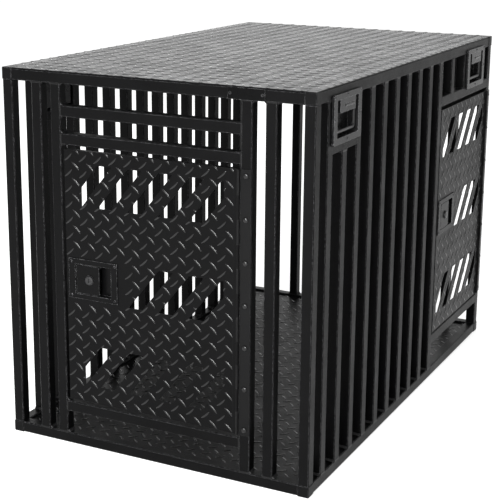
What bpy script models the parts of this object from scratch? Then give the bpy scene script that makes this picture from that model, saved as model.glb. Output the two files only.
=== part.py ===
"""Welded square tube dog crate with a front door and a side door, in metres, +Z up."""

import math

import bpy
import bmesh
from mathutils import Matrix, Vector

# Frame of square tube, outside sizes
FRAME_W = 0.762
FRAME_L = 1.2192
FRAME_H = 0.8636
TUBE = 0.0254
TUBE_WALL = 0.0016
TUBE_CHAMFER = 0.0018
BORE_CHAMFER = 0.0006
INSET = 0.0004

# Clearances
GAP = 0.0003
RUN = 0.0001
EMBED = 0.0010

# Corner blocks
PROUD = 0.0010
BLOCK_CHAMFER = 0.0016
SPIGOT_LEN = 0.0220

# Front wall, measured from its left or right edge, and from the ground or the top
FRONT_BAR_LEFT = 0.0897
FRONT_BAR_RIGHT = FRAME_W - 0.0979
FRONT_LATCH_JAMB = 0.1397
FRONT_HINGE_JAMB = FRAME_W - 0.1528
FRONT_SILL_Z = 0.0912
FRONT_HEADER_Z = FRAME_H - 0.1464
FRONT_CROSS_Z = FRAME_H - 0.0846

# Right wall, measured from its front or back edge, and from the ground or the top
SIDE_BAR_PITCH = 0.0783
SIDE_FIRST_BAR = 0.0762
SIDE_JAMB = FRAME_L - 0.4379
SIDE_FAR_BAR = FRAME_L - 0.2307
SIDE_SHORT_SHARE = 0.48
SIDE_SHORT_BAR = SIDE_JAMB + (SIDE_FAR_BAR - SIDE_JAMB) * SIDE_SHORT_SHARE
SIDE_BAR_COUNT = round((SIDE_JAMB - SIDE_FIRST_BAR) / SIDE_BAR_PITCH)
SIDE_SILL_Z = 0.1030
SIDE_HEADER_Z = FRAME_H - 0.1269

# Left and back walls
LEFT_BAR_PITCH = 0.0796
BACK_BAR_PITCH = 0.0818
LEFT_BAR_COUNT = round((FRAME_L - TUBE) / LEFT_BAR_PITCH) - 1
BACK_BAR_COUNT = round((FRAME_W - TUBE) / BACK_BAR_PITCH) - 1

# Roof and floor pans
PAN_SHEET = 0.0020
ROOF_EDGE = 0.0008
ROOF_RISE = GAP + PAN_SHEET
ROOF_FLANGE = 0.0180
FLOOR_TOP = 0.0190
FLOOR_FLANGE = 0.0130

# Door panels, with their gaps to jambs, posts, sills and headers
DOOR_SHEET = 0.0020
DOOR_DEPTH = 0.0120
FRONT_DOOR = (
    FRONT_LATCH_JAMB + TUBE / 2 + 0.0086,
    FRONT_HINGE_JAMB - TUBE / 2 - 0.0075,
    FRONT_SILL_Z + TUBE / 2 + 0.0074,
    FRONT_HEADER_Z - TUBE / 2 - 0.0095,
)
SIDE_DOOR = (
    SIDE_JAMB + TUBE / 2 + 0.0040,
    FRAME_L - TUBE - 0.0078,
    SIDE_SILL_Z + TUBE / 2 + 0.0053,
    SIDE_HEADER_Z - TUBE / 2 - 0.0090,
)

# Air slots, slanted like a stroke to the right, measured from the edges of their door
SLOT_WIDTH = 0.0360
SLOT_LEAN = 0.0780
SLOT_HEIGHT = 0.0960
SLOT_COUNT = 5
SLOT_SKIP = 2
FRONT_SLOT_ENDS = (0.0076, 0.1156)
FRONT_SLOT_FIELD = (0.0430, 0.0310)
FRONT_SLOT_ROWS = (0.0292, -0.0015, 0.0407)
SIDE_SLOT_ENDS = (0.0050, 0.0990)
SIDE_SLOT_FIELD = (0.0240, 0.0210)
SIDE_SLOT_ROWS = (0.0310, 0.0070, 0.0450)

# Door hinges
BARREL_R = 0.0032
PIN_R = 0.0016
LEAF_SHEET = 0.0015
LEAF_STRIP = 0.0080
LEAF_START = 0.0006
LEAF_W = 0.0242
HINGE_REACH = 0.0038
KNUCKLE_COUNT = 11
HINGE_RIVET_COUNT = 7
HINGE_RIVET_END = 0.0130
HINGE_RIVET_R = 0.0055
RIVET_RISE = 0.0022

# Latch, measured from the left edge of its plate and from its middle height
LATCH_INSET = 0.0065
LATCH_W = 0.1266
LATCH_H = 0.0920
LATCH_SHEET = 0.0020
FRONT_LATCH_Z = (FRONT_DOOR[2] + FRONT_DOOR[3]) / 2
SIDE_LATCH_RISE = 0.0120
SIDE_LATCH_Z = (SIDE_DOOR[2] + SIDE_DOOR[3]) / 2 + SIDE_LATCH_RISE
DISH_FROM = 0.0168
DISH_TO = 0.1108
DISH_HALF_H = 0.0350
DISH_DEPTH = 0.0130
DISH_WALL = 0.0016
DISH_CLEAR = 0.0006
PADDLE_FROM = 0.0198
PADDLE_TO = 0.0798
PADDLE_T = 0.0040
PADDLE_END_GAP = 0.0016
PADDLE_LIP = 0.0035
PADDLE_LIP_DEPTH = 0.0045
TRUNNION_FROM = 0.0235
TRUNNION_DEPTH = 0.0032
TRUNNION_R = 0.0024
BOSS_R = 0.0038
LOCK_FROM = 0.0542
LOCK_R = 0.0108
LOCK_PROUD = 0.0040
LOCK_CHAMFER = 0.0020
LOCK_REAR = 0.0090
KEY_W = 0.0022
KEY_H = 0.0090
KEY_DEPTH = 0.0020
BOLT_TIP = 0.0026
BOLT_LEN = 0.0660
BOLT_H = 0.0200
BOLT_FRONT = 0.0155
BOLT_T = 0.0070
BOLT_BEVEL = 0.0070
GUIDE_FROM = 0.0310
GUIDE_LEN = 0.0440
GUIDE_WALL = 0.0030
STRIKE_CLEAR = 0.0012
SMALL_RIVET_R = 0.0026
SMALL_RIVET_RISE = 0.0012
SMALL_RIVET_EDGE = 0.0065

# Lifting handles, measured from their middle and from the top
HANDLE_OVERLAP = 0.0085
HANDLE_SPREAD = 2 * (SIDE_JAMB - SIDE_FIRST_BAR) / SIDE_BAR_COUNT
HANDLE_HALF_W = (HANDLE_SPREAD - TUBE) / 2 + HANDLE_OVERLAP
HANDLE_LOW = FRAME_H - 0.1200
HANDLE_HIGH = FRAME_H - 0.0156
HANDLE_SHEET = 0.0016
HANDLE_RISE = 0.0045
HANDLE_DISH_SIDE = 0.0175
HANDLE_DISH_HALF = HANDLE_HALF_W - HANDLE_DISH_SIDE
HANDLE_DISH_LOW = 0.0134
HANDLE_DISH_DEPTH = 0.0200
HANDLE_CORNER = 0.0030
HANDLE_RIVET_R = 0.0030
HANDLE_RIVET_RISE = 0.0015
HANDLE_RIVET_EDGE = 0.0050
COVER_LOW = FRAME_H - 0.0560
COVER_DEPTH = 0.0060
COVER_SIDE = 0.0080
COVER_RIDGE_Z = FRAME_H - 0.0420
COVER_RIDGE_R = 0.0044
COVER_RIDGE_DEPTH = -0.0016
BAIL_R = 0.0040
BAIL_SIDE = 0.0070
BAIL_HALF = HANDLE_DISH_HALF - BAIL_SIDE
BAIL_DEPTH = 0.0040
BAIL_PIVOT_Z = FRAME_H - 0.0376
BAIL_GRIP_Z = FRAME_H - 0.0960
BAIL_BEND = 0.0070
BAIL_END = 0.0010

# Badge plate on the top front rail
BADGE_FROM = FRAME_W - 0.1960
BADGE_TO = FRAME_W - 0.1120
BADGE_SHEET = 0.0012
BADGE_EDGE = 0.0005
BADGE_RIVET_R = 0.0020

ROUND_COUNT = 16
FINE_COUNT = 24
RIVET_COUNT = 12
SMOOTH_ANGLE = 35.0

BARREL_DEPTH = GAP + BARREL_R
HINGE_PROUD = GAP + 2 * BARREL_R
HANDLE_PROUD = GAP + HANDLE_RISE + HANDLE_RIVET_RISE
SHIFT = Vector(((HANDLE_PROUD - HINGE_PROUD) / 2, (HINGE_PROUD - PROUD) / 2, PROUD))

BLACK = (0.020, 0.020, 0.022)
DARK = (0.012, 0.012, 0.013)
PLATE = (0.060, 0.060, 0.063)
STEEL = (0.450, 0.450, 0.460)


def wall_matrix(wall):
    """Local axes of a wall: along it, inwards and up."""
    places = {
        "front": (-FRAME_W / 2, -FRAME_L / 2, 0.0),
        "right": (FRAME_W / 2, -FRAME_L / 2, 90.0),
        "left": (-FRAME_W / 2, FRAME_L / 2, -90.0),
        "back": (FRAME_W / 2, FRAME_L / 2, 180.0),
    }
    x, y, turn = places[wall]
    return Matrix.Translation((x, y, 0.0)) @ Matrix.Rotation(math.radians(turn), 4, "Z")


def clear_scene():
    """Remove what a new file holds."""
    for item in list(bpy.data.objects):
        bpy.data.objects.remove(item, do_unlink=True)


def new_object(name, bm):
    """Turn a bmesh into an object with outward normals."""
    bmesh.ops.recalc_face_normals(bm, faces=bm.faces)
    mesh = bpy.data.meshes.new(name)
    bm.to_mesh(mesh)
    bm.free()
    obj = bpy.data.objects.new(name, mesh)
    bpy.context.collection.objects.link(obj)
    return obj


def rectangle(low_a, high_a, low_b, high_b, chamfer=0.0):
    """Corners of a rectangle, cut off by a chamfer."""
    if chamfer <= 0:
        return [(low_a, low_b), (high_a, low_b), (high_a, high_b), (low_a, high_b)]
    return [
        (low_a + chamfer, low_b), (high_a - chamfer, low_b),
        (high_a, low_b + chamfer), (high_a, high_b - chamfer),
        (high_a - chamfer, high_b), (low_a + chamfer, high_b),
        (low_a, high_b - chamfer), (low_a, low_b + chamfer),
    ]


def point_on(axis, a, b, along):
    """A point from its place in a profile and along an axis."""
    if axis == 0:
        return (along, a, b)
    if axis == 1:
        return (b, along, a)
    return (a, b, along)


def add_ring(bm, profile, axis, along):
    """Vertices of a profile at one place along an axis."""
    return [bm.verts.new(point_on(axis, a, b, along)) for a, b in profile]


def add_band(bm, first, second):
    """Faces between two rings."""
    count = len(first)
    for i in range(count):
        j = (i + 1) % count
        bm.faces.new((first[i], first[j], second[j], second[i]))


def add_prism(bm, profile, axis, low, high):
    """A solid with one profile along an axis."""
    bottom = add_ring(bm, profile, axis, low)
    top = add_ring(bm, profile, axis, high)
    add_band(bm, bottom, top)
    bm.faces.new(list(reversed(bottom)))
    bm.faces.new(top)


def add_box(bm, low, high):
    """A box between two corners."""
    add_prism(bm, rectangle(low[0], high[0], low[1], high[1]), 2, low[2], high[2])


def circle(centre_a, centre_b, radius, count):
    """Corners of a round profile."""
    turns = [2 * math.pi * (i + 0.5) / count for i in range(count)]
    return [(centre_a + radius * math.cos(t), centre_b + radius * math.sin(t)) for t in turns]


def add_lathe(bm, centre_a, centre_b, axis, steps, count):
    """A round solid from steps of radius and height along an axis."""
    rings = [add_ring(bm, circle(centre_a, centre_b, r, count), axis, h) for r, h in steps]
    for first, second in zip(rings, rings[1:]):
        add_band(bm, first, second)
    bm.faces.new(list(reversed(rings[0])))
    bm.faces.new(rings[-1])


def hole_radius(radius, count):
    """A hole that a faceted round of the same count can turn in."""
    return radius / math.cos(math.pi / count) + RUN


def tube_profiles(centre_a, centre_b, size):
    """Outer and inner profile of a square tube."""
    half = size / 2
    bore = half - TUBE_WALL
    outer = rectangle(centre_a - half, centre_a + half, centre_b - half, centre_b + half,
                      TUBE_CHAMFER)
    inner = rectangle(centre_a - bore, centre_a + bore, centre_b - bore, centre_b + bore,
                      BORE_CHAMFER)
    return outer, inner


def add_tube(bm, centre_a, centre_b, axis, low, high, size=TUBE):
    """A square tube, open at both ends."""
    outer, inner = tube_profiles(centre_a, centre_b, size)
    outer_low = add_ring(bm, outer, axis, low)
    outer_high = add_ring(bm, outer, axis, high)
    inner_low = add_ring(bm, inner, axis, low)
    inner_high = add_ring(bm, inner, axis, high)
    add_band(bm, outer_low, outer_high)
    add_band(bm, inner_high, inner_low)
    add_band(bm, outer_high, inner_high)
    add_band(bm, inner_low, outer_low)


def combine(target, tool, operation):
    """Apply one exact Boolean and remove the tool."""
    tool.hide_render = True
    tool.display_type = "WIRE"
    step = target.modifiers.new(operation.lower(), "BOOLEAN")
    step.operation = operation
    step.solver = "EXACT"
    step.object = tool
    graph = bpy.context.evaluated_depsgraph_get()
    mesh = bpy.data.meshes.new_from_object(target.evaluated_get(graph))
    target.modifiers.clear()
    target.data = mesh
    bpy.data.objects.remove(tool, do_unlink=True)


def fuse(target, bm):
    """Add solids to an object."""
    combine(target, new_object("added", bm), "UNION")


def cut(target, bm):
    """Take solids away from an object."""
    combine(target, new_object("cutter", bm), "DIFFERENCE")


def paint(obj, colour, roughness, metallic):
    """Give an object its own material."""
    material = bpy.data.materials.new(obj.name + "_finish")
    material.use_nodes = True
    shader = material.node_tree.nodes["Principled BSDF"]
    shader.inputs["Base Color"].default_value = (*colour, 1.0)
    shader.inputs["Roughness"].default_value = roughness
    shader.inputs["Metallic"].default_value = metallic
    obj.data.materials.clear()
    obj.data.materials.append(material)
    obj.data.name = obj.name
    obj.data.shade_smooth()
    obj.data.set_sharp_from_angle(angle=math.radians(SMOOTH_ANGLE))


def settle(obj, matrix, pivot=None, colour=BLACK, roughness=0.45, metallic=0.0):
    """Move an object into the row frame, with its origin on its joint."""
    whole = Matrix.Translation(SHIFT) @ matrix
    obj.data.transform(whole)
    if pivot is not None:
        point = whole @ Vector(pivot)
        obj.data.transform(Matrix.Translation(-point))
        obj.location = point
    paint(obj, colour, roughness, metallic)


def tidy_mesh(obj):
    """Join vertices that a Boolean left almost on top of each other."""
    bm = bmesh.new()
    bm.from_mesh(obj.data)
    bmesh.ops.remove_doubles(bm, verts=bm.verts, dist=0.00001)
    bmesh.ops.dissolve_limit(bm, angle_limit=0.001, verts=bm.verts, edges=bm.edges)
    bm.to_mesh(obj.data)
    bm.free()


def build_block(name, side_x, side_y, side_z):
    """A corner block with three spigots."""
    outer = Vector((side_x * (FRAME_W / 2 + PROUD), side_y * (FRAME_L / 2 + PROUD), 0.0))
    outer.z = FRAME_H + ROOF_RISE if side_z > 0 else -PROUD
    inner = Vector((side_x * (FRAME_W / 2 - TUBE), side_y * (FRAME_L / 2 - TUBE), 0.0))
    inner.z = FRAME_H - TUBE if side_z > 0 else TUBE
    inward = Vector((-side_x, -side_y, -side_z))
    middle = inner - inward * TUBE / 2
    bm = bmesh.new()
    add_box(bm, [min(a, b) for a, b in zip(outer, inner)],
            [max(a, b) for a, b in zip(outer, inner)])
    bmesh.ops.bevel(bm, geom=bm.edges[:], offset=BLOCK_CHAMFER, segments=1, affect="EDGES")
    obj = new_object(name, bm)
    half = TUBE / 2 - TUBE_WALL - GAP
    for axis in range(3):
        spigot = bmesh.new()
        low = [middle[i] - half for i in range(3)]
        high = [middle[i] + half for i in range(3)]
        ends = (middle[axis], inner[axis] + inward[axis] * SPIGOT_LEN)
        low[axis] = min(ends)
        high[axis] = max(ends)
        add_box(spigot, low, high)
        fuse(obj, spigot)
    settle(obj, Matrix.Identity(4), colour=DARK, roughness=0.5)


def build_blocks():
    """Eight corner blocks."""
    for deep, side_y in (("front", -1), ("back", 1)):
        for hand, side_x in (("left", -1), ("right", 1)):
            for level, side_z in (("bottom", -1), ("top", 1)):
                build_block(f"block_{deep}_{hand}_{level}", side_x, side_y, side_z)


def build_posts():
    """Four corner posts."""
    for deep, side_y in (("front", -1), ("back", 1)):
        for hand, side_x in (("left", -1), ("right", 1)):
            bm = bmesh.new()
            x = side_x * (FRAME_W - TUBE) / 2
            y = side_y * (FRAME_L - TUBE) / 2
            add_tube(bm, x, y, 2, TUBE + GAP, FRAME_H - TUBE - GAP)
            settle(new_object(f"post_{deep}_{hand}", bm), Matrix.Identity(4))


def wall_length(wall):
    """Length of a wall between the outer faces."""
    return FRAME_W if wall in ("front", "back") else FRAME_L


def build_rail(name, wall, z):
    """A rail along a wall, between two corner blocks."""
    bm = bmesh.new()
    add_tube(bm, TUBE / 2, z, 0, TUBE + GAP, wall_length(wall) - TUBE - GAP)
    settle(new_object(name, bm), wall_matrix(wall))


def build_rails():
    """Rails at the floor and the plain ones at the roof."""
    for wall in ("front", "right", "left", "back"):
        build_rail(f"rail_{wall}_bottom", wall, TUBE / 2)
    for wall in ("front", "right"):
        build_rail(f"rail_{wall}_top", wall, FRAME_H - TUBE / 2)


def build_upright(name, wall, u, low=TUBE + GAP, high=FRAME_H - TUBE - GAP):
    """A plain upright tube in a wall, flush with its faces."""
    bm = bmesh.new()
    add_tube(bm, u, TUBE / 2, 2, low, high)
    obj = new_object(name, bm)
    return obj


def build_level(name, wall, z, low, high):
    """A plain level tube in a wall."""
    bm = bmesh.new()
    add_tube(bm, TUBE / 2, z, 0, low, high)
    settle(new_object(name, bm), wall_matrix(wall))


def strike_cutter(u, latch_z):
    """The hole that a bolt enters in the inner side of a jamb."""
    bm = bmesh.new()
    half = BOLT_H / 2 + STRIKE_CLEAR
    face = u + TUBE / 2
    add_box(bm, (face - 2 * TUBE_WALL, BOLT_FRONT - STRIKE_CLEAR, latch_z - half),
            (face + TUBE_WALL, BOLT_FRONT + BOLT_T + STRIKE_CLEAR / 2, latch_z + half))
    return bm


def build_front_wall():
    """Front bars, jambs, sill, header and cross bar."""
    matrix = wall_matrix("front")
    settle(build_upright("front_bar_left", "front", FRONT_BAR_LEFT), matrix)
    settle(build_upright("front_bar_right", "front", FRONT_BAR_RIGHT), matrix)
    settle(build_upright("front_hinge_jamb", "front", FRONT_HINGE_JAMB), matrix)
    jamb = build_upright("front_latch_jamb", "front", FRONT_LATCH_JAMB)
    cut(jamb, strike_cutter(FRONT_LATCH_JAMB, FRONT_LATCH_Z))
    settle(jamb, matrix)
    low = FRONT_LATCH_JAMB + TUBE / 2 + GAP
    high = FRONT_HINGE_JAMB - TUBE / 2 - GAP
    build_level("front_sill", "front", FRONT_SILL_Z, low, high)
    build_level("front_header", "front", FRONT_HEADER_Z, low, high)
    build_level("front_cross_bar", "front", FRONT_CROSS_Z, low, high)


def add_solid_upright(bm, u, low, high, size):
    """The outside of an upright, for a weldment."""
    add_prism(bm, tube_profiles(u, TUBE / 2, size)[0], 2, low, high)


def add_bore_upright(bm, u, low, high, size):
    """The bore of an upright, for a weldment."""
    add_prism(bm, tube_profiles(u, TUBE / 2, size)[1], 2, low, high)


def add_solid_level(bm, z, low, high, size):
    """The outside of a level tube, for a weldment."""
    add_prism(bm, tube_profiles(TUBE / 2, z, size)[0], 0, low, high)


def add_bore_level(bm, z, low, high, size):
    """The bore of a level tube, for a weldment."""
    add_prism(bm, tube_profiles(TUBE / 2, z, size)[1], 0, low, high)


def build_grille(name, wall, count, short_bars):
    """A top rail with its bars, and cross tubes where a handle cuts a bar short."""
    length = wall_length(wall)
    pitch = (length - TUBE) / (count + 1)
    places = [TUBE / 2 + pitch * (i + 1) for i in range(count)]
    bar_size = TUBE - 2 * INSET
    cross_size = bar_size - 2 * INSET
    rail_z = FRAME_H - TUBE / 2
    low = TUBE + GAP
    bm = bmesh.new()
    add_solid_level(bm, rail_z, TUBE + GAP, length - TUBE - GAP, TUBE)
    obj = new_object(name, bm)
    bars = bmesh.new()
    bores = bmesh.new()
    for i, u in enumerate(places):
        if i in short_bars:
            add_solid_upright(bars, u, low, SIDE_HEADER_Z, bar_size)
            add_bore_upright(bores, u, low - EMBED, SIDE_HEADER_Z, bar_size)
        else:
            add_solid_upright(bars, u, low, rail_z, bar_size)
            add_bore_upright(bores, u, low - EMBED, FRAME_H - TUBE, bar_size)
    fuse(obj, bars)
    for i in short_bars:
        cross = bmesh.new()
        add_solid_level(cross, SIDE_HEADER_Z, places[i - 1], places[i + 1], cross_size)
        fuse(obj, cross)
    rail_bore = bmesh.new()
    add_bore_level(rail_bore, rail_z, 0.0, length, TUBE)
    cut(obj, rail_bore)
    cut(obj, bores)
    for i in short_bars:
        cross = bmesh.new()
        add_bore_level(cross, SIDE_HEADER_Z, places[i - 1], places[i + 1], cross_size)
        cut(obj, cross)
    tidy_mesh(obj)
    settle(obj, wall_matrix(wall))


def side_bar(i):
    """Place of a bar of the right wall, counted from zero."""
    return SIDE_FIRST_BAR + (SIDE_JAMB - SIDE_FIRST_BAR) * i / SIDE_BAR_COUNT


def build_near_bay():
    """Three bars of the right wall and the cross tube that carries the near handle."""
    bar_size = TUBE - 2 * INSET
    low = TUBE + GAP
    high = FRAME_H - TUBE - GAP
    bm = bmesh.new()
    add_solid_level(bm, SIDE_HEADER_Z, side_bar(0), side_bar(2), bar_size - 2 * INSET)
    obj = new_object("side_near_bay", bm)
    bars = bmesh.new()
    bores = bmesh.new()
    for i in range(3):
        top = SIDE_HEADER_Z if i == 1 else high
        bore_top = SIDE_HEADER_Z if i == 1 else high + EMBED
        add_solid_upright(bars, side_bar(i), low, top, bar_size)
        add_bore_upright(bores, side_bar(i), low - EMBED, bore_top, bar_size)
    fuse(obj, bars)
    cut(obj, bores)
    cross = bmesh.new()
    add_bore_level(cross, SIDE_HEADER_Z, side_bar(0), side_bar(2), bar_size - 2 * INSET)
    cut(obj, cross)
    tidy_mesh(obj)
    settle(obj, wall_matrix("right"))


def build_side_header():
    """The header over the side door with its three short bars."""
    low = SIDE_JAMB + TUBE / 2 + GAP
    high = FRAME_L - TUBE - GAP
    bar_size = TUBE - 2 * INSET
    top = FRAME_H - TUBE - GAP
    bm = bmesh.new()
    add_solid_level(bm, SIDE_HEADER_Z, low, high, TUBE)
    obj = new_object("side_header", bm)
    bars = bmesh.new()
    bores = bmesh.new()
    for u in (SIDE_SHORT_BAR, SIDE_FAR_BAR, SIDE_FAR_BAR + HANDLE_SPREAD):
        add_solid_upright(bars, u, SIDE_HEADER_Z, top, bar_size)
        add_bore_upright(bores, u, SIDE_HEADER_Z + TUBE / 2, top + EMBED, bar_size)
    fuse(obj, bars)
    header_bore = bmesh.new()
    add_bore_level(header_bore, SIDE_HEADER_Z, low - EMBED, high + EMBED, TUBE)
    cut(obj, header_bore)
    cut(obj, bores)
    tidy_mesh(obj)
    settle(obj, wall_matrix("right"))


def build_right_wall():
    """Bars, jamb, header and sill of the right wall."""
    matrix = wall_matrix("right")
    build_near_bay()
    for i in range(3, SIDE_BAR_COUNT):
        settle(build_upright(f"side_bar_{i + 1}", "right", side_bar(i)), matrix)
    jamb = build_upright("side_latch_jamb", "right", SIDE_JAMB)
    cut(jamb, strike_cutter(SIDE_JAMB, SIDE_LATCH_Z))
    settle(jamb, matrix)
    build_side_header()
    low = SIDE_JAMB + TUBE / 2 + GAP
    build_level("side_sill", "right", SIDE_SILL_Z, low, FRAME_L - TUBE - GAP)


def build_roof():
    """A tread plate over the rails, notched at the blocks, with a flange inside the rails."""
    half_x = FRAME_W / 2 - ROOF_EDGE
    half_y = FRAME_L / 2 - ROOF_EDGE
    near_x = FRAME_W / 2 - TUBE - GAP
    near_y = FRAME_L / 2 - TUBE - GAP
    outline = [
        (-near_x, -half_y), (near_x, -half_y), (near_x, -near_y), (half_x, -near_y),
        (half_x, near_y), (near_x, near_y), (near_x, half_y), (-near_x, half_y),
        (-near_x, near_y), (-half_x, near_y), (-half_x, -near_y), (-near_x, -near_y),
    ]
    bm = bmesh.new()
    add_prism(bm, outline, 2, FRAME_H + GAP, FRAME_H + ROOF_RISE)
    obj = new_object("roof_pan", bm)
    outer_x = near_x - INSET
    outer_y = near_y - INSET
    low = FRAME_H - ROOF_FLANGE
    high = FRAME_H + GAP + PAN_SHEET / 2
    bm = bmesh.new()
    add_box(bm, (-outer_x, -outer_y, low), (outer_x, outer_y, high))
    flange = new_object("flange", bm)
    inside = bmesh.new()
    add_box(inside, (-outer_x + PAN_SHEET, -outer_y + PAN_SHEET, low - EMBED),
            (outer_x - PAN_SHEET, outer_y - PAN_SHEET, high + EMBED))
    cut(flange, inside)
    combine(obj, flange, "UNION")
    settle(obj, Matrix.Identity(4), colour=PLATE, roughness=0.4)


def build_floor():
    """A tread plate pan with its edges folded down, inside the rails."""
    half_x = FRAME_W / 2 - TUBE - GAP
    half_y = FRAME_L / 2 - TUBE - GAP
    low = FLOOR_TOP - FLOOR_FLANGE
    bm = bmesh.new()
    add_box(bm, (-half_x, -half_y, low), (half_x, half_y, FLOOR_TOP))
    obj = new_object("floor_pan", bm)
    inside = bmesh.new()
    add_box(inside, (-half_x + PAN_SHEET, -half_y + PAN_SHEET, low - EMBED),
            (half_x - PAN_SHEET, half_y - PAN_SHEET, FLOOR_TOP - PAN_SHEET))
    cut(obj, inside)
    settle(obj, Matrix.Identity(4), colour=PLATE, roughness=0.4)


def clip_side(points, limit, keep_above):
    """Cut a convex outline at one place along the wall."""
    kept = []
    for i, here in enumerate(points):
        last = points[i - 1]
        inside = here[0] >= limit if keep_above else here[0] <= limit
        inside_last = last[0] >= limit if keep_above else last[0] <= limit
        if inside != inside_last:
            share = (limit - last[0]) / (here[0] - last[0])
            kept.append((limit, last[1] + share * (here[1] - last[1])))
        if inside:
            kept.append(here)
    return kept


def slot_outline(left, low, high, field):
    """A slanted slot, cut off at the edges of its field."""
    outline = [
        (left, low), (left + SLOT_WIDTH, low),
        (left + SLOT_WIDTH + SLOT_LEAN, high), (left + SLOT_LEAN, high),
    ]
    outline = clip_side(outline, field[0], True)
    return clip_side(outline, field[1], False)


def slot_cutter(door, ends, field, rows):
    """All slots of a door: a full row, a short row beside the latch and a full row."""
    left, right, low, high = door
    pitch = (right - left - ends[0] - ends[1]) / (SLOT_COUNT - 1)
    limits = (left + field[0], right - field[1])
    middle = (low + high) / 2 + rows[1]
    starts = (
        (high - rows[0] - SLOT_HEIGHT, 0),
        (middle - SLOT_HEIGHT / 2, SLOT_SKIP),
        (low + rows[2], 0),
    )
    bm = bmesh.new()
    for base, skip in starts:
        for i in range(skip, SLOT_COUNT):
            outline = slot_outline(left + ends[0] + pitch * i, base, base + SLOT_HEIGHT, limits)
            profile = [(z, u) for u, z in outline]
            add_prism(bm, profile, 1, -2 * EMBED, DOOR_SHEET + EMBED)
    return bm


def knuckle_spans(low, high, first):
    """Lower and upper end of every other knuckle."""
    pitch = (high - low) / KNUCKLE_COUNT
    return [(low + pitch * i + GAP / 2, low + pitch * (i + 1) - GAP / 2)
            for i in range(first, KNUCKLE_COUNT, 2)]


def add_dome(bm, a, b, axis, base, rise, radius, count=ROUND_COUNT):
    """A round rivet head, rising from just under a surface."""
    turn = 1 if rise > 0 else -1
    steps = [(radius, base - turn * EMBED / 2), (radius, base + 0.3 * rise),
             (radius * 0.78, base + 0.75 * rise), (radius * 0.4, base + rise)]
    add_lathe(bm, a, b, axis, steps, count)


def build_hinge_leaf(name, wall, door, pivot, carrier):
    """The fixed leaf with its knuckles, pin and rivet heads."""
    low, high = door[2], door[3]
    leaf = (carrier + LEAF_START, carrier + LEAF_START + LEAF_W)
    bm = bmesh.new()
    add_box(bm, (leaf[0], -GAP - LEAF_SHEET, low), (leaf[1], -GAP, high))
    obj = new_object(name, bm)
    for span in knuckle_spans(low, high, 0):
        tongue = bmesh.new()
        add_box(tongue, (pivot, -GAP - LEAF_SHEET + INSET / 2, span[0] + INSET),
                (leaf[0] + EMBED, -GAP - INSET / 2, span[1] - INSET))
        fuse(obj, tongue)
    barrels = bmesh.new()
    for span in knuckle_spans(low, high, 0):
        profile = circle(pivot, -BARREL_DEPTH, BARREL_R, ROUND_COUNT)
        add_prism(barrels, profile, 2, span[0], span[1])
    fuse(obj, barrels)
    pin = bmesh.new()
    add_prism(pin, circle(pivot, -BARREL_DEPTH, PIN_R, ROUND_COUNT), 2, low + EMBED, high - EMBED)
    fuse(obj, pin)
    heads = bmesh.new()
    for i in range(HINGE_RIVET_COUNT):
        reach = high - low - 2 * HINGE_RIVET_END
        z = low + HINGE_RIVET_END + reach * i / (HINGE_RIVET_COUNT - 1)
        add_dome(heads, z, (leaf[0] + leaf[1]) / 2, 1, -GAP - LEAF_SHEET, -RIVET_RISE,
                 HINGE_RIVET_R)
    fuse(obj, heads)
    tidy_mesh(obj)
    settle(obj, wall_matrix(wall))


def build_door_panel(name, wall, door, pivot, slots, latch_z):
    """A pressed door with folded edges, slots, latch cut-out and hinge knuckles."""
    left, right, low, high = door
    bm = bmesh.new()
    add_box(bm, (left, 0.0, low), (right, DOOR_DEPTH, high))
    obj = new_object(name, bm)
    inside = bmesh.new()
    add_box(inside, (left + DOOR_SHEET, DOOR_SHEET, low + DOOR_SHEET),
            (right - DOOR_SHEET, DOOR_DEPTH + EMBED, high - DOOR_SHEET))
    cut(obj, inside)
    cut(obj, slots)
    window = bmesh.new()
    plate = left + LATCH_INSET
    reach = DISH_WALL + DISH_CLEAR
    add_box(window, (plate + DISH_FROM - reach, -EMBED, latch_z - DISH_HALF_H - reach),
            (plate + DISH_TO + reach, DOOR_SHEET + EMBED, latch_z + DISH_HALF_H + reach))
    cut(obj, window)
    strip = bmesh.new()
    add_box(strip, (right - LEAF_STRIP, -GAP - LEAF_SHEET, low + INSET),
            (right - INSET, DOOR_SHEET / 2, high - INSET))
    fuse(obj, strip)
    for span in knuckle_spans(low, high, 1):
        tongue = bmesh.new()
        add_box(tongue, (right - LEAF_STRIP / 2, -GAP - LEAF_SHEET + INSET / 2, span[0] + INSET),
                (pivot, -GAP - INSET / 2, span[1] - INSET))
        fuse(obj, tongue)
    barrels = bmesh.new()
    for span in knuckle_spans(low, high, 1):
        add_prism(barrels, circle(pivot, -BARREL_DEPTH, BARREL_R, ROUND_COUNT), 2, span[0], span[1])
    fuse(obj, barrels)
    bore = bmesh.new()
    add_prism(bore, circle(pivot, -BARREL_DEPTH, hole_radius(PIN_R, ROUND_COUNT), ROUND_COUNT), 2, low, high)
    cut(obj, bore)
    tidy_mesh(obj)
    settle(obj, wall_matrix(wall), pivot=(pivot, -BARREL_DEPTH, (low + high) / 2),
           colour=PLATE, roughness=0.4)


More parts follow.
